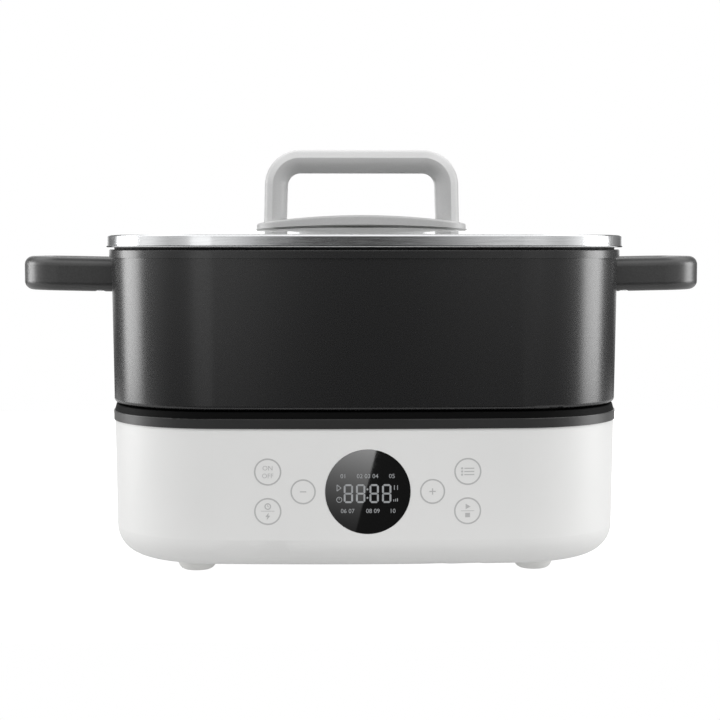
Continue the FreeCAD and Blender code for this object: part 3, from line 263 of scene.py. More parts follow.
# %% [markdown]
# ## The studio
# The pot stands on a light table, a sheet of opal acrylic that glows, so its shadow all but goes.
# The table ends some 12 cm in front of the base, and what lies low beyond it is dark.
#
# Each kind of ray finds its own surround. Seen directly or through the glass, it is plain white.
# In a reflection its brightness depends on direction alone: dark straight in front, where the
# camera is, pale walls to either side, uneven towards the back, and a bright sky with a dim patch
# overhead. So steel and dark coating keep their depth. Diffuse light gets three quarters of those
# levels, and a good deal more from below, as a white floor would send back.

# %% Light table
TABLE_FRONT, TABLE_BACK, TABLE_SIDE = -0.27, 0.8, 0.8
TABLE_GAP_MM = 0.2
TABLE_GLOW, TABLE_SEEN = 0.3, 0.9


def add_table():
    mesh = bpy.data.meshes.new("light_table")
    plan = bmesh.new()
    plan.faces.new([plan.verts.new((x, y, 0)) for x, y in (
        (-TABLE_SIDE, TABLE_FRONT), (TABLE_SIDE, TABLE_FRONT), (TABLE_SIDE, TABLE_BACK),
        (-TABLE_SIDE, TABLE_BACK))])
    plan.to_mesh(mesh)
    plan.free()
    table = bpy.data.objects.new("light_table", mesh)
    bpy.context.scene.collection.objects.link(table)
    table.location.z = cad_low.z - TABLE_GAP_MM * MM
    opal, tree, shader, place = new_finish("opal_acrylic", "#b4b4b4", 0.6, IOR=1.49)
    shader.inputs["Emission Color"].default_value = linear("#ffffff")
    seen = add_node(tree, "LightPath").outputs["Is Camera Ray"]
    tree.links.new(span(tree, seen, 0, 1, TABLE_GLOW, TABLE_SEEN),
                   shader.inputs["Emission Strength"])
    raise_grain(tree, shader, noise(tree, place, 4.0, 3.0), 0.01)
    mesh.materials.append(opal)
    return table


table = add_table()
print("table top at", round(table.location.z / MM, 2), "mm")

# %% Surround
# Brightness against the cosine of the angle from straight in front, from behind to in front.
SURROUND_LEVELS = [(-1.0, 1.5), (-0.92, 1.4), (-0.84, 0.15), (-0.57, 0.3), (-0.3, 0.7), (0.0, 1.0),
                   (0.17, 1.35), (0.34, 1.25), (0.6, 0.8), (0.75, 0.85), (0.866, 1.05), (0.98, 1.0),
                   (0.994, 0.03)]
TOP_LEVEL = 2.0
# Each zone's level, and the heights (as a sine) between which it takes over from the walls.
SKY_LEVEL, SKY_HEIGHTS = 2.0, (0.45, 0.8)
ZENITH_LEVEL, ZENITH_HEIGHTS = 0.4, (0.88, 0.96)
LOW_LEVEL, LOW_FILL, LOW_HEIGHTS = 0.05, 0.6, (-0.01, -0.08)
FILL_SHARE = 0.74


def add_wall_levels(tree, way):
    """The walls' brightness; a ramp holds colours up to 1, so it carries a share of the top."""
    ahead = add_node(tree, "MapRange", Value=way["Y"], From_Min=1.0, From_Max=-1.0)
    wall = add_node(tree, "ValToRGB", Fac=ahead.outputs["Result"])
    stops = wall.color_ramp.elements
    stops.remove(stops[1])
    for number, (cosine, level) in enumerate(SURROUND_LEVELS):
        stop = stops[0] if number == 0 else stops.new((cosine + 1) / 2)
        stop.position, stop.color = (cosine + 1) / 2, (*[level / TOP_LEVEL] * 3, 1)
    return maths(tree, "MULTIPLY", wall.outputs["Color"], TOP_LEVEL)


def add_surround():
    world = bpy.data.worlds.new("studio_surround")
    bpy.context.scene.world = world
    world.use_nodes = True
    tree = world.node_tree
    tree.nodes.clear()
    direction = add_node(tree, "TexCoord").outputs["Generated"]
    way = add_node(tree, "SeparateXYZ", Vector=direction).outputs
    rays = add_node(tree, "LightPath").outputs
    low = span(tree, rays["Is Diffuse Ray"], 0, 1, LOW_LEVEL, LOW_FILL)
    level = add_wall_levels(tree, way)
    for zone, heights in ((SKY_LEVEL, SKY_HEIGHTS), (ZENITH_LEVEL, ZENITH_HEIGHTS),
                          (low, LOW_HEIGHTS)):
        level = add_node(tree, "Mix", Factor=soft_step(tree, way["Z"], *heights), _2=level,
                         _3=zone).outputs[0]
    share = span(tree, rays["Is Diffuse Ray"], 0, 1, 1.0, FILL_SHARE)
    level = maths(tree, "MULTIPLY", level, share)
    studio, plain = (add_node(tree, "Background", Color=linear("#ffffff"), Strength=strength)
                     for strength in (level, 1.0))
    seen = maths(tree, "MAXIMUM", rays["Is Camera Ray"], rays["Is Transmission Ray"])
    mixed = add_node(tree, "MixShader", _0=seen, _1=studio.outputs[0], _2=plain.outputs[0])
    add_node(tree, "OutputWorld", Surface=mixed.outputs[0])


add_surround()
bpy.context.scene.view_settings.view_transform = "Standard"
print("surround with", len(SURROUND_LEVELS), "levels from back to front")

# %% [markdown]
# ## Softboxes
# Two large softboxes, a little behind the line of the handles, light everything from the sides.
# Behind each stands an edge light, linked to the dark pieces alone, so that their edges stand out
# against the white. It is set back a little, because two lights in one place don't both show in a
# reflection. A strip light from the front left draws a soft streak on the pot and on its band.
# Two small lights that no reflection shows lift the base's front and the top of the lid's handle.

# %% Softboxes
DARK_PIECES = ["pot_shell", "left_handle", "right_handle", "lid_rim", "deck_ring", "trim_ring"]
LEFT_ANGLE, RIGHT_ANGLE, EDGE_BEHIND = -101, 91, 0.03
SIDE_BOX = {"reach": 1.5, "height": 0.30, "size": (0.72, 0.75), "watts": 7.4}
EDGE_BOX = {**SIDE_BOX, "reach": SIDE_BOX["reach"] + EDGE_BEHIND, "watts": 2.9}
STRIP_BOX = {"angle": -20, "reach": 1.5, "height": 0.30, "size": (0.55, 0.75), "watts": 0.75}
BASE_BOX = {"angle": 0, "reach": 0.25, "height": 0.25, "size": (0.5, 0.05), "watts": 0.2}
TOP_BOX = {"angle": 0, "reach": 0.05, "height": 0.9, "size": (0.4, 0.1), "watts": 1.1}


def shine_only_on(light, names):
    """Link a light to some nodes, so that it lights nothing else."""
    lit = bpy.data.collections.new("lit_by_" + light.name)
    for name in names:
        lit.objects.link(nodes[name])
    light.light_linking.receiver_collection = lit


def add_softbox(name, angle, reach, height, size, watts, lit=None, mirrored=True):
    """A rectangular area light, aimed at the pot; the angle runs from the front to a side."""
    data = bpy.data.lights.new(name, "AREA")
    data.shape = "RECTANGLE"
    data.size, data.size_y = size
    data.energy = watts
    light = bpy.data.objects.new(name, data)
    bpy.context.scene.collection.objects.link(light)
    turn = math.radians(angle)
    light.location = (reach * math.sin(turn), -reach * math.cos(turn), height)
    aim = Vector((0, 0, (cad_low.z + cad_high.z) / 2)) - light.location
    light.rotation_euler = aim.to_track_quat("-Z", "Y").to_euler()
    light.visible_camera = False
    light.visible_glossy = mirrored
    if lit:
        shine_only_on(light, lit)
    print(f"{name}: {watts} W at {angle} degrees")


for side, angle in (("right", RIGHT_ANGLE), ("left", LEFT_ANGLE)):
    add_softbox("softbox_" + side, angle, **SIDE_BOX)
    add_softbox("edge_light_" + side, angle, **EDGE_BOX, lit=DARK_PIECES)
add_softbox("strip_light", **STRIP_BOX, lit=["pot_shell", "lid_rim"])
add_softbox("base_light", **BASE_BOX, lit=["base_housing"], mirrored=False)
add_softbox("top_light", **TOP_BOX, lit=["lid_handle"], mirrored=False)

# %% [markdown]
# ## Moulded plastics and rubbers
# The base is injection-moulded ABS. Its tool is spark-eroded, which leaves an even, very fine
# grain, so the plastic looks white and satin rather than shiny. The real grain is about 0.1 mm;
# it is drawn at 0.7 mm so that it shows at all. The other mouldings differ in what they are filled
# with and in how fine their tool's surface is. The deck's black also carries painted shade: it is
# darkened and all but stripped of gloss so that it looks like the shade in the gap under the pot.

# %% Moulded plastics
ABS_GRAIN_MM = 0.7


def moulded_white_abs():
    finish, tree, shader, place = new_finish("moulded_white_abs", "#e0e0df", 0.4, IOR=1.53)
    grain, flow = noise(tree, place, ABS_GRAIN_MM, 2.0), noise(tree, place, 60, 2.0)
    vary_roughness(tree, shader, grain, 0.36, 0.46)
    vary_colour(tree, shader, flow, "#dfdfde", "#e2e2e1")
    raise_grain(tree, shader, grain, 0.006)
    return finish


def moulded_dark_pbt_painted_shade():
    """Heat-proof polyester with glass fibre, black with painted shade: its near-black colour and
    its gloss, cut to almost none, stand in for the shade in the gap under the pot.
    """
    # Painted shade: a near-black colour and almost no gloss, so the deck's edge reads as dark as
    # the shade under the pot.
    finish, tree, shader, place = new_finish("moulded_dark_pbt_painted_shade", "#060606", 0.6, IOR=1.57,
                                             Specular_IOR_Level=0.05)
    fibre = noise(tree, place, 1.2, 4.0)
    vary_roughness(tree, shader, fibre, 0.55, 0.65)
    vary_colour(tree, shader, fibre, "#050505", "#080808", NOISE_CORE)
    raise_grain(tree, shader, fibre, 0.004)
    return finish


def moulded_grey_pp():
    """Light grey polypropylene with a fine satin texture, kind to the hand."""
    finish, tree, shader, place = new_finish("moulded_grey_pp", "#d2d2d2", 0.36, IOR=1.49)
    grain = noise(tree, place, 0.8, 2.0)
    vary_roughness(tree, shader, grain, 0.32, 0.42)
    vary_colour(tree, shader, grain, "#d0d0d0", "#d4d4d4", NOISE_CORE)
    raise_grain(tree, shader, grain, 0.005)
    return finish


def moulded_charcoal_pbt():
    """The same polyester off a blasted tool, for the trim ring: matt charcoal."""
    finish, tree, shader, place = new_finish("moulded_charcoal_pbt", "#181818", 0.42, IOR=1.57)
    grain = noise(tree, place, 0.9, 3.0)
    vary_roughness(tree, shader, grain, 0.38, 0.46)
    vary_colour(tree, shader, grain, "#161616", "#1b1b1b", NOISE_CORE)
    raise_grain(tree, shader, grain, 0.01)
    return finish


def moulded_phenolic():
    """Compression-moulded phenolic: hard, dark and slightly mottled by its wood-flour filler."""
    finish, tree, shader, place = new_finish("moulded_phenolic", "#353535", 0.34, IOR=1.6)
    filler = noise(tree, place, 0.9, 5.0)
    vary_roughness(tree, shader, filler, 0.3, 0.38)
    vary_colour(tree, shader, filler, "#313131", "#3a3a3a", NOISE_CORE)
    raise_grain(tree, shader, filler, 0.006)
    return finish


def moulded_tpe(name, colour):
    """Thermoplastic rubber or silicone: matt, with a faint bloom."""
    finish, tree, shader, place = new_finish(name, colour, 0.65, IOR=1.45)
    bloom = noise(tree, place, 2.5, 4.0)
    vary_roughness(tree, shader, bloom, 0.55, 0.75)
    raise_grain(tree, shader, bloom, 0.008)
    return finish


def moulded_part_plastic(name, colour, roughness):
    """The plain thermoplastic of an electrical component's case."""
    finish, tree, shader, place = new_finish(name, colour, roughness, IOR=1.55)
    grain = noise(tree, place, 0.5, 3.0)
    vary_roughness(tree, shader, grain, roughness - 0.06, roughness + 0.08)
    raise_grain(tree, shader, grain, 0.01)
    return finish


print("plastics ready, the base's grain drawn at", ABS_GRAIN_MM, "mm")

# %% [markdown]
# ## The pot's coating
# The pot is cast aluminium, sprayed with a dark ceramic-filled coating. Fine flakes in the spray
# catch the light one by one, so the surface is a soft charcoal with a quiet sparkle. The flakes
# are really some 0.05 mm across and are drawn at 0.8 mm.

# %% Pot coating
FLAKE_MM, FLAKE_RANGE = 0.8, (0.1, 0.6)
WALL_BLEND_MM = 5.0


def sprayed_ceramic_coating():
    finish, tree, shader, place = new_finish("sprayed_ceramic_coating", "#101011", 0.26, IOR=1.6)
    flakes = add_node(tree, "TexVoronoi", Vector=place, Scale=per_size(FLAKE_MM))
    flake_value = add_node(tree, "SeparateColor", Color=flakes.outputs["Color"]).outputs["Red"]
    spray = noise(tree, place, 1.6, 6.0, Roughness=0.7)
    mottle = maths(tree, "MULTIPLY", flake_value, spray)
    vary_roughness(tree, shader, mottle, 0.275, 0.245, FLAKE_RANGE)
    vary_colour(tree, shader, mottle, "#0e0e0f", "#161617", FLAKE_RANGE)
    blend_headings(tree, raise_grain(tree, shader, spray, 0.001), WALL_BLEND_MM)
    return finish


print("coating drawn at", FLAKE_MM, "mm flakes")

# %% [markdown]
# ## Metals
# The lid's band is stainless strip, rolled and polished along its length. The heating plate is
# cast aluminium faced on a lathe, so its tool marks are rings, really about 0.6 mm apart and drawn
# at 7.5 mm. Springs, screws and sheet parts are steels with their own plating. A metal keeps the
# default IOR; its colour and roughness do the work.

# %% Metal finishes
BAND_BLEND_MM = 3.0
RING_MM = 7.54
WAVE_RATE = 20  # A wave texture's phase runs so many radians in one unit at a scale of 1.


def metal(name, colour, roughness, mottle_mm=3.0, spread=0.06, stretch=(1, 1, 1), blend_mm=0):
    """A bare or plated metal, with its roughness varied by a noise that may be drawn out."""
    finish, tree, shader, place = new_finish(name, colour, roughness, Metallic=1.0)
    drawn = add_node(tree, "Mapping", Vector=place, Scale=stretch).outputs["Vector"]
    marks = noise(tree, drawn, mottle_mm, 4.0)
    vary_roughness(tree, shader, marks, roughness - spread, roughness + spread)
    bump = raise_grain(tree, shader, marks, 0.002)
    if blend_mm:
        blend_headings(tree, bump, blend_mm)
    return finish


def turned_aluminium():
    finish, tree, shader, place = new_finish("turned_aluminium", "#b9babc", 0.3, Metallic=1.0)
    rings = add_node(tree, "TexWave", {"wave_type": "RINGS", "rings_direction": "Z"},
                     Vector=place, Scale=per_size(RING_MM) * 2 * math.pi / WAVE_RATE,
                     Distortion=0.4, Detail=2.0).outputs["Fac"]
    vary_roughness(tree, shader, rings, 0.24, 0.38, (0, 1))
    raise_grain(tree, shader, rings, 0.01)
    return finish


print("metals ready, the plate's rings drawn", RING_MM, "mm apart")

# %% [markdown]
# ## Glass, acrylic and prints
# The lid is tempered soda-lime glass, which is clear with a trace of green. The round window is
# smoked acrylic over the digits: black until they light, and nearly as smooth as glass.

# %% Glass, acrylic and prints
def tempered_glass():
    finish, tree, shader, place = new_finish("tempered_glass", "#f4f8f6", 0.02, IOR=1.52,
                                             Transmission_Weight=1.0)
    raise_grain(tree, shader, noise(tree, place, 45, 1.0), 0.01)
    return finish


def smoked_acrylic():
    finish, tree, shader, place = new_finish("smoked_acrylic", "#0b0b0b", 0.04, IOR=1.49,
                                             Specular_IOR_Level=0.35)
    vary_roughness(tree, shader, noise(tree, place, 8, 2.0), 0.03, 0.06)
    return finish


def printed_ink():
    """Grey pad-printing ink, matt on the satin plastic."""
    finish, tree, shader, place = new_finish("printed_ink", "#bababa", 0.6)
    vary_colour(tree, shader, noise(tree, place, 0.4, 2.0), "#b8b8b8", "#bebebe")
    return finish


def lit_segments():
    """Digits lit from behind, dimmed by the smoked acrylic."""
    finish, tree, shader, place = new_finish("lit_segments", "#1a1a1a", 0.1,
                                             Emission_Strength=0.85)
    vary_colour(tree, shader, noise(tree, place, 3, 1.0), "#989a9c", "#a8aaac",
                socket="Emission Color")
    return finish


print("glass and prints ready")

# %% [markdown]
# ## Electrical materials
# A circuit board is green laminate, with copper tracks under the resist that are drawn here as a
# pattern of blocks. Leads are silicone sleeves, the small cases are plastic, and the contacts are
# nickel-plated brass.

# %% Board laminate
def green_laminate():
    finish, tree, shader, place = new_finish("green_laminate", "#1c5a34", 0.35, IOR=1.55)
    tracks = add_node(tree, "TexBrick", {"offset": 0.5}, Vector=place, Scale=per_size(9),
                      Color1=linear("#1c5a34"), Color2=linear("#1a5230"),
                      Mortar=linear("#2f7a4b"), Mortar_Size=0.06)
    tree.links.new(tracks.outputs["Color"], shader.inputs["Base Color"])
    raise_grain(tree, shader, tracks.outputs["Fac"], 0.03)
    return finish


laminate = green_laminate()
print(laminate.name, "has", len(laminate.node_tree.nodes), "nodes")

# %% [markdown]
# Now the rest are made, each of them once, for all the pieces that share it. Metals differ in their
# colour, in how rough they are and in how large their mottle is; case plastics and sleeves differ
# in colour and little else.

# %% The other materials
white_abs, dark_pbt_painted_shade, charcoal_pbt = (moulded_white_abs(), moulded_dark_pbt_painted_shade(),
                                      moulded_charcoal_pbt())
grey_pp, phenolic = moulded_grey_pp(), moulded_phenolic()
white_tpe = moulded_tpe("moulded_white_tpe", "#f2f2f0")
grey_silicone = moulded_tpe("moulded_grey_silicone", "#b8b9b8")
black_silicone = moulded_tpe("moulded_black_silicone", "#1c1c1c")
coating = sprayed_ceramic_coating()
rolled_stainless = metal("rolled_stainless", "#d3d4d5", 0.17, 0.5, 0.04, (0.04, 0.04, 1),
                         BAND_BLEND_MM)
aluminised_steel = metal("aluminised_steel", "#b4b5b6", 0.34, 4.0, 0.08)
annealed_steel = metal("annealed_steel", "#6d655c", 0.42, 6.0, 0.1)
zinc_plate = metal("zinc_plated_steel", "#a9abad", 0.3, 1.0)
spring_wire = metal("music_wire", "#9a9b9d", 0.26, 0.8)
nickel_brass = metal("nickel_plated_brass", "#c9c2a8", 0.25, 1.5)
pressed_aluminium = metal("pressed_aluminium", "#bfc0c2", 0.3, 2.0)
plate_metal = turned_aluminium()
lid_glass, window_acrylic = tempered_glass(), smoked_acrylic()
ink, segments = printed_ink(), lit_segments()
relay_case = moulded_part_plastic("relay_case_pbt", "#23425f", 0.35)
film_case = moulded_part_plastic("capacitor_case_pbt", "#b99a2f", 0.4)
ferrite = moulded_part_plastic("sintered_ferrite", "#2a2826", 0.6)
black_case = moulded_part_plastic("black_case_plastic", "#161616", 0.45)
white_case = moulded_part_plastic("display_case_plastic", "#d8d8d6", 0.5)
lead_sleeve = moulded_tpe("silicone_sleeve", "#8d3b2e")
ribbon_sleeve = moulded_tpe("pvc_ribbon", "#9ea3a8")
print(len(bpy.data.materials), "materials")

# %% [markdown]
# ## Every node gets its finish
# One table says which material each piece is made of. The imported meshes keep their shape: only
# their material slots change.

# %% Finish table
finishes = {
    white_abs: ["base_housing"],
    white_tpe: [name for name in nodes if name.startswith("foot_")],
    # The deck's finish holds painted shade for the gap under the pot.
    dark_pbt_painted_shade: ["deck_ring"],
    charcoal_pbt: ["trim_ring"],
    black_silicone: ["lid_seal"],
    plate_metal: ["heating_plate"],
    annealed_steel: ["heating_element", "thermal_fuse"],
    grey_silicone: ["plate_seal", "rim_gasket", "saddle_gasket", "handle_washers"],
    aluminised_steel: ["heat_reflector", "sensor_guide"],
    spring_wire: ["sensor_spring", "touch_springs"],
    pressed_aluminium: ["sensor_cap"],
    laminate: ["power_board", "control_board"],
    relay_case: ["relay"],
    ferrite: ["transformer"],
    film_case: ["filter_capacitor"],
    nickel_brass: ["board_tabs", "inlet_pins"],
    zinc_plate: [name for name in nodes if name.endswith("_screws")],
    lead_sleeve: ["element_leads", "mains_leads"],
    black_case: ["power_inlet", "buzzer"],
    window_acrylic: ["display_window"],
    white_case: ["display_module"],
    ribbon_sleeve: ["ribbon_cable"],
    coating: ["pot_shell"],
    phenolic: ["left_handle", "right_handle"],
    rolled_stainless: ["lid_rim", "steam_vent"],
    lid_glass: ["lid_glass"],
    grey_pp: ["handle_saddle", "lid_handle"],
}
for finish, names in finishes.items():
    for name in names:
        nodes[name].data.materials.clear()
        nodes[name].data.materials.append(finish)
bare = sorted(set(nodes) - {name for names in finishes.values() for name in names})
print("nodes without a finish:", bare)

# %% [markdown]
# ## Prints on the front
# The keys have no travel: behind each one a spring contact senses a finger through the wall, so
# all that shows is a pad print of a thin ring with a sign in it. The front is bowed and drafted,
# so a flat decal would sink in or float. Each print is drawn flat, in millimetres from the
# display's centre, then every corner is laid on the surface behind it by a ray. The film gets a
# thickness, three quarters of it sunk in so that no light passes under it.

# %% Drawing helpers
def draw_band(flat, near, far):
    """Quads between two rows of points of the same length."""
    near = [flat.verts.new((x, y, 0)) for x, y in near]
    far = [flat.verts.new((x, y, 0)) for x, y in far]
    for number in range(len(near) - 1):
        flat.faces.new((near[number], near[number + 1], far[number + 1], far[number]))


def draw_ring(flat, centre, radius, width, steps=72):
    turns = [2 * math.pi * step / steps for step in range(steps + 1)]
    rows = [[(centre[0] + reach * math.sin(turn), centre[1] + reach * math.cos(turn))
             for turn in turns] for reach in (radius - width / 2, radius + width / 2)]
    draw_band(flat, *rows)


def draw_stroke(flat, start, end, width):
    along = Vector(end) - Vector(start)
    across = Vector((-along.y, along.x)).normalized() * width / 2
    rows = [[Vector(start) + side * across, Vector(end) + side * across] for side in (1, -1)]
    draw_band(flat, *rows)


def draw_shape(flat, corners):
    """One face with these corners."""
    flat.faces.new([flat.verts.new((x, y, 0)) for x, y in corners])


def draw_words(flat, words, centre, height):
    """Lettering in Blender's own font, so many millimetres tall."""
    curve = bpy.data.curves.new("lettering", "FONT")
    curve.body, curve.align_x, curve.resolution_u = words, "CENTER", 4
    holder = bpy.data.objects.new("lettering", curve)
    mesh = bpy.data.meshes.new_from_object(holder)
    heights = [vertex.co.y for vertex in mesh.vertices]
    scale = height / (max(heights) - min(heights))
    middle = (max(heights) + min(heights)) / 2 * scale
    mesh.transform(Matrix.Translation((centre[0], centre[1] - middle, 0)) @
                   Matrix.Scale(scale, 4))
    flat.from_mesh(mesh)
    bpy.data.objects.remove(holder)
    bpy.data.curves.remove(curve)
    bpy.data.meshes.remove(mesh)


sample = bmesh.new()
draw_ring(sample, (0, 0), 5, 1)
print("a ring is drawn with", len(sample.faces), "faces")
sample.free()

# %% Laying a drawing on a surface
FILM_LIFT_MM, FILM_SINK_MM = 0.04, 0.12
window_low, window_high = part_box("display_window")
DISPLAY_X = (window_low.x + window_high.x) / 2
DISPLAY_Z = (window_low.z + window_high.z) / 2


def skin_of(name):
    """A search tree over a node's surface, for rays."""
    skin = bmesh.new()
    skin.from_mesh(nodes[name].data)
    tree = BVHTree.FromBMesh(skin)
    skin.free()
    return tree


def lay_print(name, flat, surface, finish, lift=FILM_LIFT_MM):
    """Lay a flat drawing on a front surface as a thin closed film."""
    bmesh.ops.remove_doubles(flat, verts=flat.verts, dist=0.001)
    for vertex in flat.verts:
        x, z = DISPLAY_X + vertex.co.x * MM, DISPLAY_Z + vertex.co.y * MM
        hit = surface.ray_cast(Vector((x, cad_low.y - 0.1, z)), Vector((0, 1, 0)))[0]
        vertex.co = (x, hit.y - lift * MM, z)
    made = bmesh.ops.extrude_face_region(flat, geom=flat.faces[:])
    inner = [item for item in made["geom"] if isinstance(item, bmesh.types.BMVert)]
    bmesh.ops.translate(flat, verts=inner, vec=(0, (lift + FILM_SINK_MM) * MM, 0))
    bmesh.ops.recalc_face_normals(flat, faces=flat.faces)
    open_edges = sum(not edge.is_manifold for edge in flat.edges)
    mesh = bpy.data.meshes.new(name)
    flat.to_mesh(mesh)
    flat.free()
    mesh.materials.append(finish)
    piece = bpy.data.objects.new(name, mesh)
    bpy.context.scene.collection.objects.link(piece)
    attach(piece, "base")
    print(f"{name}: {len(mesh.polygons)} faces, {open_edges} open edges")
    return piece


housing_skin, window_skin = skin_of("base_housing"), skin_of("display_window")
print("display centre", round(DISPLAY_X / MM, 2), round(DISPLAY_Z / MM, 2), "mm")

# %% [markdown]
# ## The six keys
# Rings of a thin line, five of them with signs that need no language: less and more, a clock over
# a bolt for time and power, a list for the programmes, and start over stop. The sixth says ON
# and OFF. Each sign is drawn by its own function, in millimetres from its key's centre.

# %% Key prints
RING_LINE_MM, SIGN_LINE_MM, HAND_LINE_MM, DIVIDER_MM = 0.8, 0.6, 0.34, 0.3
KEY_COLUMN_MM, KEY_INNER_MM, KEY_ROW_MM = 53.8, 34.8, 10.7
KEY_RADIUS_MM, SMALL_KEY_RADIUS_MM = 6.95, 6.4
KEY_WORD_MM, KEY_WORD_ROW_MM = 2.5, 2.1


def at(centre, *points):
    """Points given from a centre, moved to that centre."""
    return [(centre[0] + x, centre[1] + y) for x, y in points]


def draw_on_off(flat, key):
    for word, row in (("ON", KEY_WORD_ROW_MM), ("OFF", -KEY_WORD_ROW_MM)):
        draw_words(flat, word, at(key, (0, row))[0], KEY_WORD_MM)


def draw_time_power(flat, key):
    clock = at(key, (0, 2.7))[0]
    draw_ring(flat, clock, 1.5, SIGN_LINE_MM, steps=32)
    for hand in ((0, 1.0), (0.8, -0.3)):
        draw_stroke(flat, clock, at(clock, hand)[0], HAND_LINE_MM)
    draw_stroke(flat, *at(key, (-3.6, 0.2), (3.6, 0.2)), DIVIDER_MM)
    draw_shape(flat, at(key, (0.5, -0.7), (-1.3, -2.9), (-0.2, -2.9), (-0.6, -4.7), (1.3, -2.3),
                        (0.2, -2.3)))


def draw_less(flat, key):
    draw_stroke(flat, *at(key, (-1.7, 0), (1.7, 0)), SIGN_LINE_MM)


def draw_more(flat, key):
    """The line of the minus, with an upright half on either side of it."""
    draw_less(flat, key)
    for end in (1.7, -1.7):
        draw_stroke(flat, *at(key, (0, end), (0, math.copysign(SIGN_LINE_MM / 2, end))),
                    SIGN_LINE_MM)


def draw_list(flat, key):
    for row in (1.7, 0, -1.7):
        draw_ring(flat, at(key, (-3.1, row))[0], 0.35, 0.5, steps=16)
        draw_stroke(flat, *at(key, (-1.9, row), (3.5, row)), 0.55)


def draw_start_stop(flat, key):
    draw_shape(flat, at(key, (-1.1, 3.9), (1.6, 2.3), (-1.1, 0.9)))
    draw_stroke(flat, *at(key, (-3.6, 0), (3.6, 0)), DIVIDER_MM)
    draw_shape(flat, at(key, (-1.3, -1.1), (1.3, -1.1), (1.3, -3.5), (-1.3, -3.5)))


keys = [("on_off", -KEY_COLUMN_MM, KEY_ROW_MM, KEY_RADIUS_MM, draw_on_off),
        ("time_power", -KEY_COLUMN_MM, -KEY_ROW_MM, KEY_RADIUS_MM, draw_time_power),
        ("less", -KEY_INNER_MM, 0, SMALL_KEY_RADIUS_MM, draw_less),
        ("more", KEY_INNER_MM, 0, SMALL_KEY_RADIUS_MM, draw_more),
        ("list", KEY_COLUMN_MM, KEY_ROW_MM, KEY_RADIUS_MM, draw_list),
        ("start_stop", KEY_COLUMN_MM, -KEY_ROW_MM, KEY_RADIUS_MM, draw_start_stop)]
for key_name, column, row, radius, draw_sign in keys:
    flat = bmesh.new()
    draw_ring(flat, (column, row), radius, RING_LINE_MM)
    draw_sign(flat, (column, row))
    lay_print("key_print_" + key_name, flat, housing_skin, ink)

# %% [markdown]
# ## The lit display
# Four seven-segment digits with a colon, ten plain programme numbers above and below them, and
# small signs beside the digits. On the real panel each lit bar is a window in a mask behind the
# smoked acrylic. Here the bars are thin films on the acrylic's face that glow softly.

# %% Display digits
DIGIT_TALL_MM, DIGIT_WIDE_MM, BAR_MM, BAR_GAP_MM = 10.2, 5.0, 1.0, 0.12
DIGIT_LINE_MM, DIGIT_COLUMNS_MM = -1.0, (-10.5, -3.9, 3.35, 10.1)
COLON_X_MM, COLON_LEVELS_MM = -0.25, (1.3, -3.3)
DOT_RADIUS_MM, DOT_LINE_MM = 0.28, 0.5
NUMBER_TALL_MM, NUMBERS_ABOVE_MM, NUMBERS_BELOW_MM = 2.3, 8.5, -10.4


def draw_bar(flat, start, end, width):
    """One lit segment: a bar with pointed ends."""
    along = (Vector(end) - Vector(start)).normalized() * width / 2
    across = Vector((-along.y, along.x))
    draw_shape(flat, [Vector(start), Vector(start) + along + across,
                      Vector(end) - along + across, Vector(end), Vector(end) - along - across,
                      Vector(start) + along - across])


def draw_digit(flat, column):
    gap, half = BAR_GAP_MM, (DIGIT_WIDE_MM - BAR_MM) / 2
    levels = [DIGIT_LINE_MM + (DIGIT_TALL_MM - BAR_MM) / 2 * side for side in (1, 0, -1)]
    for level in levels:
        draw_bar(flat, (column - half + gap, level), (column + half - gap, level), BAR_MM)
    for side in (-half, half):
        for high, low in zip(levels, levels[1:]):
            draw_bar(flat, (column + side, low + gap), (column + side, high - gap), BAR_MM)


flat = bmesh.new()
for column in DIGIT_COLUMNS_MM:
    draw_digit(flat, column)
for level in COLON_LEVELS_MM:
    draw_ring(flat, (COLON_X_MM, level), DOT_RADIUS_MM, DOT_LINE_MM, steps=16)
for row, numbers in ((NUMBERS_ABOVE_MM, (("01", -13.2), ("02 03 04", -0.2), ("05", 12.9))),
                     (NUMBERS_BELOW_MM, (("06 07", -10.9), ("08 09", 2.7), ("10", 13.3)))):
    for words, column in numbers:
        draw_words(flat, words, (column, row), NUMBER_TALL_MM)
lay_print("display_digits", flat, window_skin, segments)

# %% [markdown]
# To the left of the digits are a start arrow and a clock, and to the right a pause sign and a
# heat level in three bars.

# %% Display signs
SMALL_LINE_MM = 0.35
ARROW_MM = [(-16.6, 3.8), (-16.6, 0.4), (-14.4, 2.1)]
CLOCK_MM, CLOCK_RADIUS_MM, CLOCK_HAND_MM, CLOCK_LINE_MM = (-15.4, -4.3), 1.4, 0.9, 0.3
PAUSE_COLUMNS_MM, PAUSE_TOP_MM, PAUSE_FOOT_MM = (14.2, 15.9), 3.5, 1.0
HEAT_COLUMNS_MM, HEAT_MIDDLE_TOP_MM, HEAT_FOOT_MM = (13.9, 14.9, 15.9), -3.9, -5.3
HEAT_SLOPE, HEAT_LINE_MM = 0.3, 0.4

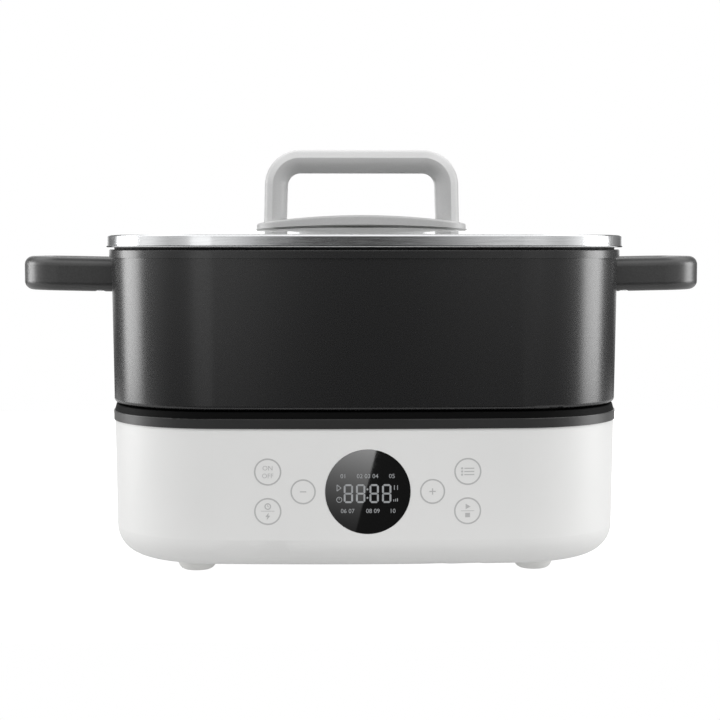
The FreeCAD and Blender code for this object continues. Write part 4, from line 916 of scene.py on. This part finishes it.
flat = bmesh.new()
for start, end in ((0, 1), (0, 2), (2, 1)):
    draw_stroke(flat, ARROW_MM[start], ARROW_MM[end], SMALL_LINE_MM)
draw_ring(flat, CLOCK_MM, CLOCK_RADIUS_MM, SMALL_LINE_MM, steps=32)
draw_stroke(flat, CLOCK_MM, at(CLOCK_MM, (0, CLOCK_HAND_MM))[0], CLOCK_LINE_MM)
for column in PAUSE_COLUMNS_MM:
    draw_stroke(flat, (column, PAUSE_TOP_MM), (column, PAUSE_FOOT_MM), SMALL_LINE_MM)
for column in HEAT_COLUMNS_MM:
    top = HEAT_MIDDLE_TOP_MM + (column - HEAT_COLUMNS_MM[1]) * HEAT_SLOPE
    draw_stroke(flat, (column, HEAT_FOOT_MM), (column, top), HEAT_LINE_MM)
lay_print("display_signs", flat, window_skin, segments)

# %% [markdown]
# ## Screws with a drive
# In the solids a screw is a shank with a plain round head, which is all that its seat needs. A
# real one is cold-headed steel with a domed pan head and a cross pressed into it. Such a screw is
# made here by turning a profile, as on a lathe, and cutting the cross with a Boolean.

# %% Turned solids
HEAD_RADIUS_MM, HEAD_HEIGHT_MM, HEAD_SIDE_SHARE = 3.0, 2.2, 0.45
DOME_STEPS, DOME_FULLNESS = 6, 0.6
TURN_STEPS = 40


def turned(profile):
    """A closed solid turned about Z from (radius, height) points that start and end on it."""
    solid = bmesh.new()
    line = [solid.verts.new((radius * MM, 0, height * MM)) for radius, height in profile]
    edges = [solid.edges.new(pair) for pair in zip(line, line[1:])]
    bmesh.ops.spin(solid, geom=line + edges, cent=(0, 0, 0), axis=(0, 0, 1),
                   angle=2 * math.pi, steps=TURN_STEPS)
    bmesh.ops.remove_doubles(solid, verts=solid.verts, dist=1e-7)
    bmesh.ops.recalc_face_normals(solid, faces=solid.faces)
    return solid


def head_profile():
    """Straight side, then a dome over the top."""
    side = HEAD_HEIGHT_MM * HEAD_SIDE_SHARE
    turns = [math.pi / 2 * step / DOME_STEPS for step in range(DOME_STEPS)]
    dome = [(HEAD_RADIUS_MM * math.cos(turn) ** DOME_FULLNESS,
             side + (HEAD_HEIGHT_MM - side) * math.sin(turn)) for turn in turns]
    return dome + [(0, HEAD_HEIGHT_MM)]


def as_object(name, solid):
    """Put a finished bmesh into the scene."""
    mesh = bpy.data.meshes.new(name)
    solid.to_mesh(mesh)
    solid.free()
    made = bpy.data.objects.new(name, mesh)
    bpy.context.scene.collection.objects.link(made)
    return made


print("a head's outline has", len(head_profile()), "points")

# %% Cross and screw
SHANK_RADIUS_MM, POINT_RADIUS_MM, POINT_MM = 1.5, 0.9, 0.8
CROSS_SPAN_MM, CROSS_WIDTH_MM, CROSS_DEPTH_MM = 3.4, 0.9, 1.5
CUTTER_ABOVE_MM, CUTTER_TOP_SHARE, CUTTER_FOOT_SHARE = 0.5, 1.15, 0.6
SAMPLE_MM = 10


def cross_cutter():
    """A plus-shaped punch that narrows downwards."""
    punch = bmesh.new()
    arm, half = CROSS_SPAN_MM / 2, CROSS_WIDTH_MM / 2
    plan = []
    for turn in range(4):
        cosine, sine = round(math.cos(turn * math.pi / 2)), round(math.sin(turn * math.pi / 2))
        for x, y in ((arm, -half), (arm, half), (half, half)):
            plan.append((x * cosine - y * sine, x * sine + y * cosine))
    rings = [[punch.verts.new((x * share * MM, y * share * MM, level * MM)) for x, y in plan]
             for level, share in ((HEAD_HEIGHT_MM + CUTTER_ABOVE_MM, CUTTER_TOP_SHARE),
                                  (HEAD_HEIGHT_MM - CROSS_DEPTH_MM, CUTTER_FOOT_SHARE))]
    punch.faces.new(rings[0])
    punch.faces.new(reversed(rings[1]))
    for number in range(len(plan)):
        after = (number + 1) % len(plan)
        punch.faces.new((rings[0][number], rings[1][number], rings[1][after], rings[0][after]))
    bmesh.ops.recalc_face_normals(punch, faces=punch.faces)
    return punch


def master_screw(length_mm):
    """A screw with its head's underside at the origin, its head up and its shank down."""
    profile = [(0, -length_mm), (POINT_RADIUS_MM, -length_mm),
               (SHANK_RADIUS_MM, -length_mm + POINT_MM), (SHANK_RADIUS_MM, 0),
               (HEAD_RADIUS_MM, 0)]
    screw = as_object("master_screw", turned(profile + head_profile()))
    punch = as_object("cross_punch", cross_cutter())
    cut = screw.modifiers.new("cross", "BOOLEAN")
    cut.operation, cut.object, cut.solver = "DIFFERENCE", punch, "EXACT"
    bpy.context.view_layer.update()
    result = bpy.data.meshes.new_from_object(
        screw.evaluated_get(bpy.context.evaluated_depsgraph_get()))
    bpy.data.objects.remove(screw)
    bpy.data.objects.remove(punch)
    return result


sample = master_screw(SAMPLE_MM)
print("one screw:", len(sample.polygons), "faces")
bpy.data.meshes.remove(sample)

# %% [markdown]
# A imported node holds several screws, so its corner points are sorted into the solids that they
# belong to. The wider end of a solid is its head. That tells where the head sits, which way it
# faces and how long the shank is, and a screw is made to those and laid along the same axis.

# %% Screws in their places
def solids_of(name):
    """The corner points of each separate solid in a node."""
    skin = bmesh.new()
    skin.from_mesh(nodes[name].data)
    bmesh.ops.remove_doubles(skin, verts=skin.verts, dist=1e-6)
    left = set(skin.verts)
    solids = []
    while left:
        reached, found = [left.pop()], []
        while reached:
            vertex = reached.pop()
            found.append(vertex.co.copy())
            for edge in vertex.link_edges:
                other = edge.other_vert(vertex)
                if other in left:
                    left.discard(other)
                    reached.append(other)
        solids.append(found)
    skin.free()
    return solids


def head_seat(points):
    """Where a packed screw's head sits, which way it points, and how long the shank is."""
    low = Vector([min(point[axis] for point in points) for axis in range(3)])
    high = Vector([max(point[axis] for point in points) for axis in range(3)])
    middle, long_axis = (low + high) / 2, max(range(3), key=lambda axis: (high - low)[axis])
    unit = Vector([float(axis == long_axis) for axis in range(3)])

    def girth(end):
        return max((point - middle - (point - middle)[long_axis] * unit).length
                   for point in points if abs(point[long_axis] - end) < 1e-5)

    up = girth(high[long_axis]) > girth(low[long_axis])
    way = unit if up else -unit
    top = high[long_axis] if up else low[long_axis]
    seat = middle.copy()
    seat[long_axis] = top - (1 if up else -1) * HEAD_HEIGHT_MM * MM
    return seat, way, (high - low)[long_axis] / MM - HEAD_HEIGHT_MM


for name in [name for name in nodes if name.endswith("_screws")]:
    together = bmesh.new()
    for points in solids_of(name):
        seat, way, length = head_seat(points)
        screw = master_screw(length)
        turn = way.to_track_quat("Z", "Y").to_matrix().to_4x4()
        screw.transform(Matrix.Translation(seat) @ turn)
        together.from_mesh(screw)
        bpy.data.meshes.remove(screw)
    piece = as_object(name + "_cross_head", together)
    piece.data.materials.append(zinc_plate)
    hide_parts(name)
    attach(piece, body_of(nodes[name])[0])

# %% [markdown]
# ## Rounder feet
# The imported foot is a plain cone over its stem. A real one is moulded in soft rubber, full at the
# housing and curving in to its tread, so it is turned again here from a rounder profile, with the
# same stem and barb through the floor.

# %% Feet
FOOT_PROFILE_MM = [(0, 0), (6.4, 0), (7.6, 0.2), (8.8, 0.8), (9.8, 1.8), (10.5, 3.2), (11.0, 5.0),
                   (11.2, 8.4), (4.0, 8.4), (4.0, 11.2), (5.2, 11.2), (3.0, 15.2), (0, 15.2)]
FOOT_SHARP_DEGREES = 35

for name in finishes[white_tpe]:
    foot_low, foot_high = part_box(name)
    middle = (foot_low + foot_high) / 2
    foot = turned(FOOT_PROFILE_MM)
    bmesh.ops.translate(foot, verts=foot.verts, vec=(middle.x, middle.y, foot_low.z))
    piece = as_object(name + "_pad", foot)
    piece.data.shade_smooth()
    piece.data.set_sharp_from_angle(angle=math.radians(FOOT_SHARP_DEGREES))
    piece.data.materials.append(white_tpe)
    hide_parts(name)
    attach(piece, "base")
    print(piece.name, "stands", round((foot_high.z - foot_low.z) / MM, 1), "mm with its stem")

# %% [markdown]
# ## A streak of light across the window
# Glossy black acrylic looks like a dull disc until something bright is mirrored in it. A small
# softbox close to the window, tilted and fading towards its foot, leaves a slanted edge across the
# acrylic. Its right edge goes through a chosen point, so that edge stays put when the box is made
# wider. It is linked to the window alone, so nothing else is lit by it.

# %% Window light
WINDOW_LIGHT = {"reach": 0.1, "edge_x": 0.003, "edge_z": 0.0385, "slant": 14.1, "width": 0.09,
                "height": 0.13, "watts": 0.34}
FADE_FROM, FADE_TO, FADE_LEAST, FADE_POWER = 0.15, 0.66, 0.2, 3.2


def add_window_light():
    data = bpy.data.lights.new("window_light", "AREA")
    data.shape = "RECTANGLE"
    data.size, data.size_y = WINDOW_LIGHT["width"], WINDOW_LIGHT["height"]
    data.energy = WINDOW_LIGHT["watts"]
    data.use_nodes = True
    tree = data.node_tree
    on_box = add_node(tree, "SeparateXYZ", Vector=add_node(tree, "TexCoord").outputs["UV"])
    climb = span(tree, on_box.outputs["Y"], FADE_FROM, FADE_TO, FADE_LEAST, 1.0)
    tree.links.new(maths(tree, "POWER", climb, FADE_POWER),
                   tree.nodes["Emission"].inputs["Strength"])
    light = bpy.data.objects.new("window_light", data)
    bpy.context.scene.collection.objects.link(light)
    slant = math.radians(WINDOW_LIGHT["slant"])
    middle_x = WINDOW_LIGHT["edge_x"] - WINDOW_LIGHT["width"] / 2 * math.cos(slant)
    middle_z = WINDOW_LIGHT["edge_z"] + WINDOW_LIGHT["width"] / 2 * math.sin(slant)
    light.location = (middle_x, window_low.y - WINDOW_LIGHT["reach"], middle_z)
    light.rotation_euler = (math.pi / 2, slant, 0)
    light.visible_camera = False
    shine_only_on(light, ["display_window"])
    return light


window_light = add_window_light()
print("window light at", [round(number / MM, 1) for number in window_light.location], "mm")
